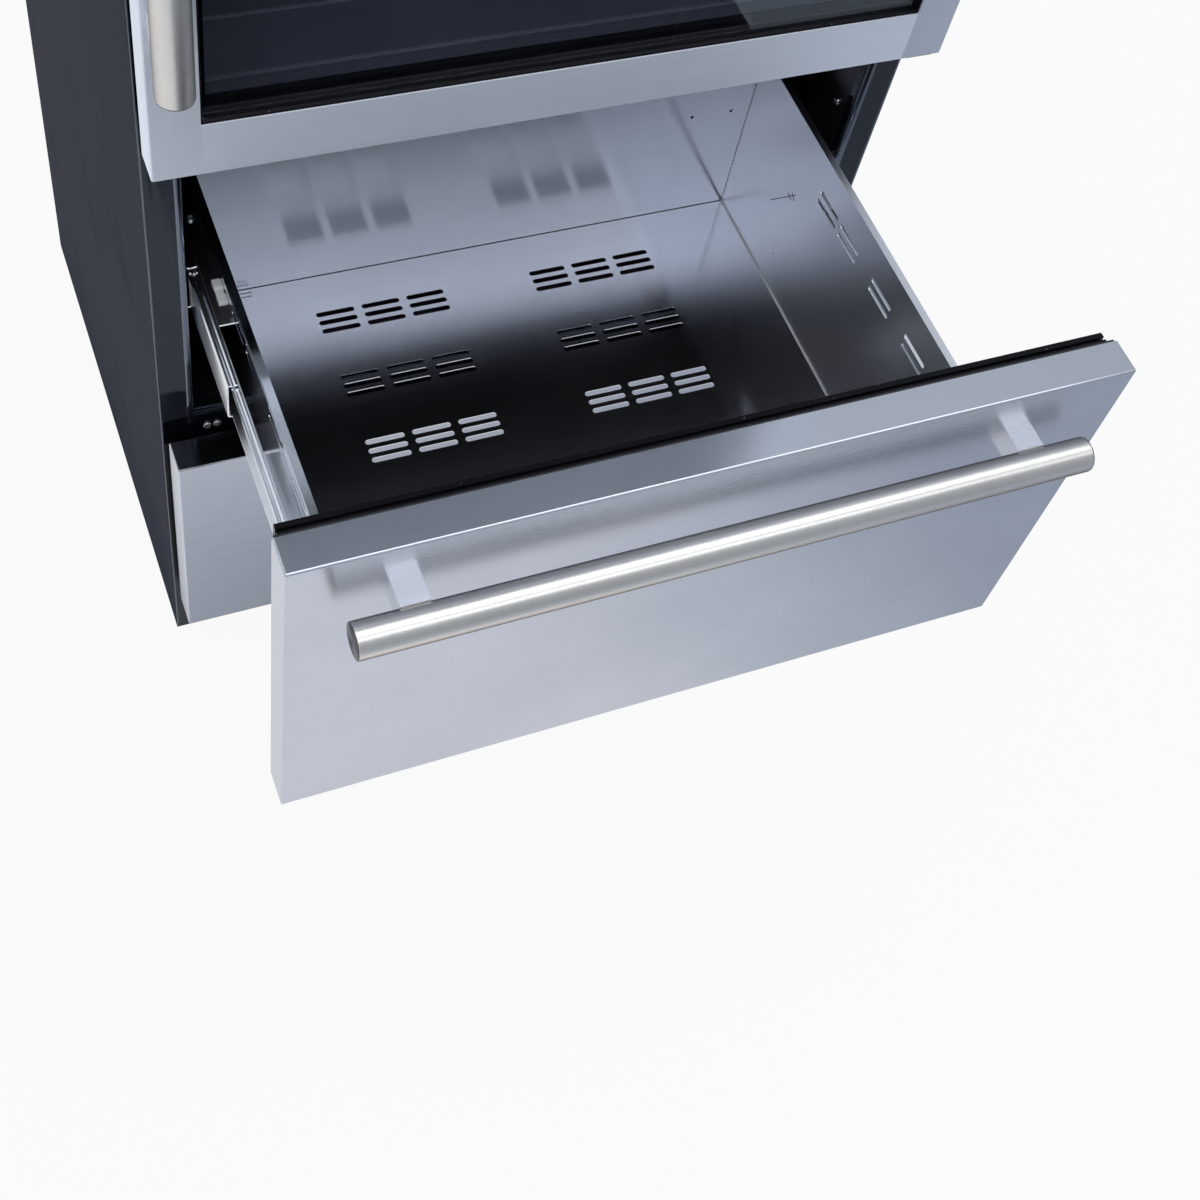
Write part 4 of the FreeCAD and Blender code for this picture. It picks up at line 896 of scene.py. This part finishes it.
def liner_ribs():
    """Two low ribs moulded across the floor of the upper compartment."""
    low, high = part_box("upper_liner")
    floor = low[2] + LINER_SHEET
    left, right = low[0] + RIB_INSET, high[0] - RIB_INSET
    ribs = [rod("rib", (left, y, floor), (right, y, floor), RIB) for y in RIB_PLACES]
    add_piece("liner_ribs", joined("liner_ribs", ribs), "rib_grey", "cabinet")


def frame_ridge(hand, side):
    """A rounded ridge beside the drawer opening, flat where the drawer's seal closes on it."""
    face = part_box("front_frame")[0][1]
    centre = side * RIDGE_X
    rings = []
    for z, share in RIDGE_RISES:
        arc = [(centre - RIDGE, face + RIDGE_ROOT, z)]
        for i in range(RIDGE_STEPS + 1):
            turn = HALF_TURN * i / RIDGE_STEPS
            arc.append((centre - RIDGE * math.cos(turn), face - RIDGE * share * math.sin(turn), z))
        arc.append((centre + RIDGE, face + RIDGE_ROOT, z))
        rings.append(arc)
    name = "frame_ridge_" + hand
    add_piece(name, skin(name, rings), "ridge_black", "cabinet")


def panel_fold(hand, side):
    """The rounded fold along a side panel's front edge, in a lighter grey that paints the highlight along it.
    """
    low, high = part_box("side_panel_" + hand)
    outer = high[0] if side > 0 else low[0]
    x, y = outer - side * FOLD, low[1] + FOLD_SET_BACK
    name = "panel_fold_" + hand
    mesh = rod(name, (x, y, low[2] + FOLD_END_GAP), (x, y, high[2] - FOLD_END_GAP), FOLD, FOLD_SIDES)
    add_piece(name, mesh, "fold_painted_highlight", "cabinet")


liner_ribs()
for hand_name, hand_side in HANDS.items():
    frame_ridge(hand_name, hand_side)
    panel_fold(hand_name, hand_side)


# Floor, light and camera

FLOOR_REACH = 9.0
FLOOR_GREY = (0.51, 0.54, 0.60, 1.0)
FLOOR_ROUGH = 0.9
WHITE_SHARE = 0.93
# Painted shade for mirrored rays: less white on the floor to the right and far in front, and a painted shadow
# under the cooler
PAINTED_SHADE_X = (0.05, 0.56)
PAINTED_SHADE_SHARES = (0.97, 0.06)
PAINTED_FRONT_SHADE_Y = (-1.35, -1.0)
PAINTED_FRONT_SHADE_SHARES = (0.1, 1.0)
PAINTED_SHADOW_X = (-0.38, -0.29)
PAINTED_SHADOW_Y = (-0.55, -0.22)
PAINTED_SHADOW_SHARE = 0.65
WHITE = (1.0, 1.0, 1.0, 1.0)
SKY = (0.87, 0.93, 1.0, 1.0)
# Strengths of the sky, and the directions between which one turns into the next
SKY_FRONT, SKY_BEHIND = 0.44, 0.70
SKY_TOP = 0.14
SKY_RIGHT_DIM = 0.24
BEHIND_Y = (-0.15, 0.3)
TOP_Z = (0.3, 0.7)
RIGHT_X = (0.25, 0.45)
RIGHT_BEHIND_Y = (0.1, 0.35)
# Place, size and power
SOFTBOXES = {
    "softbox_left": ((-1.5, -1.9, 2.9), (2.2, 0.7), 15.0),
    "softbox_front": ((0.9, -1.72, 2.9), (2.4, 0.62), 9.0),
    "softbox_above": ((0.6, -0.3, 3.0), (2.6, 1.1), 18.0),
}
CAMERA_PLACE = (-0.45413, -0.92021, 1.53741)
CAMERA_DEGREES = (32.725, -8.916, -21.534)
LENS = 53.399
SENSOR = 36.0
SHIFT_Y = -0.0417
CLIP_NEAR, CLIP_FAR = 0.05, 60.0


def floor_finish():
    """Pale floor that looks white to the camera; to metal and glass it shows painted shade to the right and
    far in front, and a painted shadow under the cooler, and it still takes a soft shadow.
    """
    finish, tree, shader, place = new_finish("floor_white")
    shader.inputs["Base Color"].default_value = FLOOR_GREY
    shader.inputs["Roughness"].default_value = FLOOR_ROUGH
    ray = tree.nodes.new("ShaderNodeLightPath").outputs
    parts = put(tree, "ShaderNodeSeparateXYZ", {0: place}).outputs
    # Painted shadow under the cooler and painted shade to the right and far in front, seen only in metal and
    # glass
    painted_shadow = maths(tree, "MULTIPLY", remap(tree, parts["X"], *PAINTED_SHADOW_X, 0.0, 1.0),
                  remap(tree, parts["Y"], *PAINTED_SHADOW_Y, 0.0, PAINTED_SHADOW_SHARE))
    painted_floor_shade = maths(tree, "MULTIPLY", remap(tree, parts["X"], *PAINTED_SHADE_X, *PAINTED_SHADE_SHARES),
                 maths(tree, "SUBTRACT", 1.0, painted_shadow))
    white = maths(tree, "MULTIPLY", painted_floor_shade, remap(tree, parts["Y"], *PAINTED_FRONT_SHADE_Y, *PAINTED_FRONT_SHADE_SHARES))
    mirrored = maths(tree, "ADD", ray["Is Glossy Ray"], ray["Is Transmission Ray"], clamp=True)
    glow = put(tree, "ShaderNodeEmission", {"Color": WHITE, "Strength": 1.0})
    share = maths(tree, "ADD", maths(tree, "MULTIPLY", mirrored, white),
                  maths(tree, "MULTIPLY", ray["Is Camera Ray"], WHITE_SHARE), clamp=True)
    mixed = put(tree, "ShaderNodeMixShader", {0: share, 1: shader.outputs[0], 2: glow.outputs[0]})
    tree.links.new(mixed.outputs[0], tree.nodes["Material Output"].inputs["Surface"])
    return finish


def add_floor():
    """A wide floor, which is part of the stage."""
    mesh = bpy.data.meshes.new("floor")
    corners = [(FLOOR_REACH * x, FLOOR_REACH * y, 0) for x, y in ((-1, -1), (1, -1), (1, 1), (-1, 1))]
    mesh.from_pydata(corners, [], [(0, 1, 2, 3)])
    mesh.materials.append(floor_finish())
    floor = bpy.data.objects.new("floor", mesh)
    bpy.context.scene.collection.objects.link(floor)


def add_softbox(name, place, size, power):
    """A rectangular lamp that shines straight down."""
    lamp = bpy.data.lights.new(name, "AREA")
    lamp.shape = "RECTANGLE"
    lamp.size, lamp.size_y = size
    lamp.energy = power
    box = bpy.data.objects.new(name, lamp)
    box.location = place
    box.visible_camera = False
    bpy.context.scene.collection.objects.link(box)


def light_world():
    """A cool sky, brighter above and behind and dimmer at the right behind, with a white backdrop."""
    world = bpy.data.worlds.new("studio")
    bpy.context.scene.world = world
    world.use_nodes = True
    tree = world.node_tree
    tree.nodes.clear()
    toward = tree.nodes.new("ShaderNodeTexCoord").outputs["Generated"]
    parts = put(tree, "ShaderNodeSeparateXYZ", {0: toward}).outputs
    ceiling = maths(tree, "ADD", remap(tree, parts["Y"], *BEHIND_Y, SKY_FRONT, SKY_BEHIND),
                    remap(tree, parts["Z"], *TOP_Z, 0.0, SKY_TOP))
    dim_right = maths(tree, "MULTIPLY", remap(tree, parts["X"], *RIGHT_X, 0.0, SKY_RIGHT_DIM),
                      remap(tree, parts["Y"], *RIGHT_BEHIND_Y, 0.0, 1.0))
    glow = maths(tree, "SUBTRACT", ceiling, dim_right)
    sky = put(tree, "ShaderNodeBackground", {"Color": SKY, "Strength": glow})
    backdrop = put(tree, "ShaderNodeBackground", {"Color": WHITE, "Strength": 1.0})
    seen = tree.nodes.new("ShaderNodeLightPath").outputs["Is Camera Ray"]
    mixed = put(tree, "ShaderNodeMixShader", {0: seen, 1: sky.outputs[0], 2: backdrop.outputs[0]})
    output = tree.nodes.new("ShaderNodeOutputWorld")
    tree.links.new(mixed.outputs[0], output.inputs["Surface"])


def add_camera():
    """The photograph's view: above the front left corner, looking down into the open drawer."""
    lens = bpy.data.cameras.new("camera")
    lens.sensor_width = SENSOR
    lens.lens = LENS
    lens.shift_y = SHIFT_Y
    lens.clip_start, lens.clip_end = CLIP_NEAR, CLIP_FAR
    camera = bpy.data.objects.new("camera", lens)
    camera.location = CAMERA_PLACE
    camera.rotation_euler = [math.radians(angle) for angle in CAMERA_DEGREES]
    bpy.context.scene.collection.objects.link(camera)
    bpy.context.scene.camera = camera


add_floor()
light_world()
for softbox, settings in SOFTBOXES.items():
    add_softbox(softbox, *settings)
add_camera()
bpy.context.scene.view_settings.view_transform = "Standard"
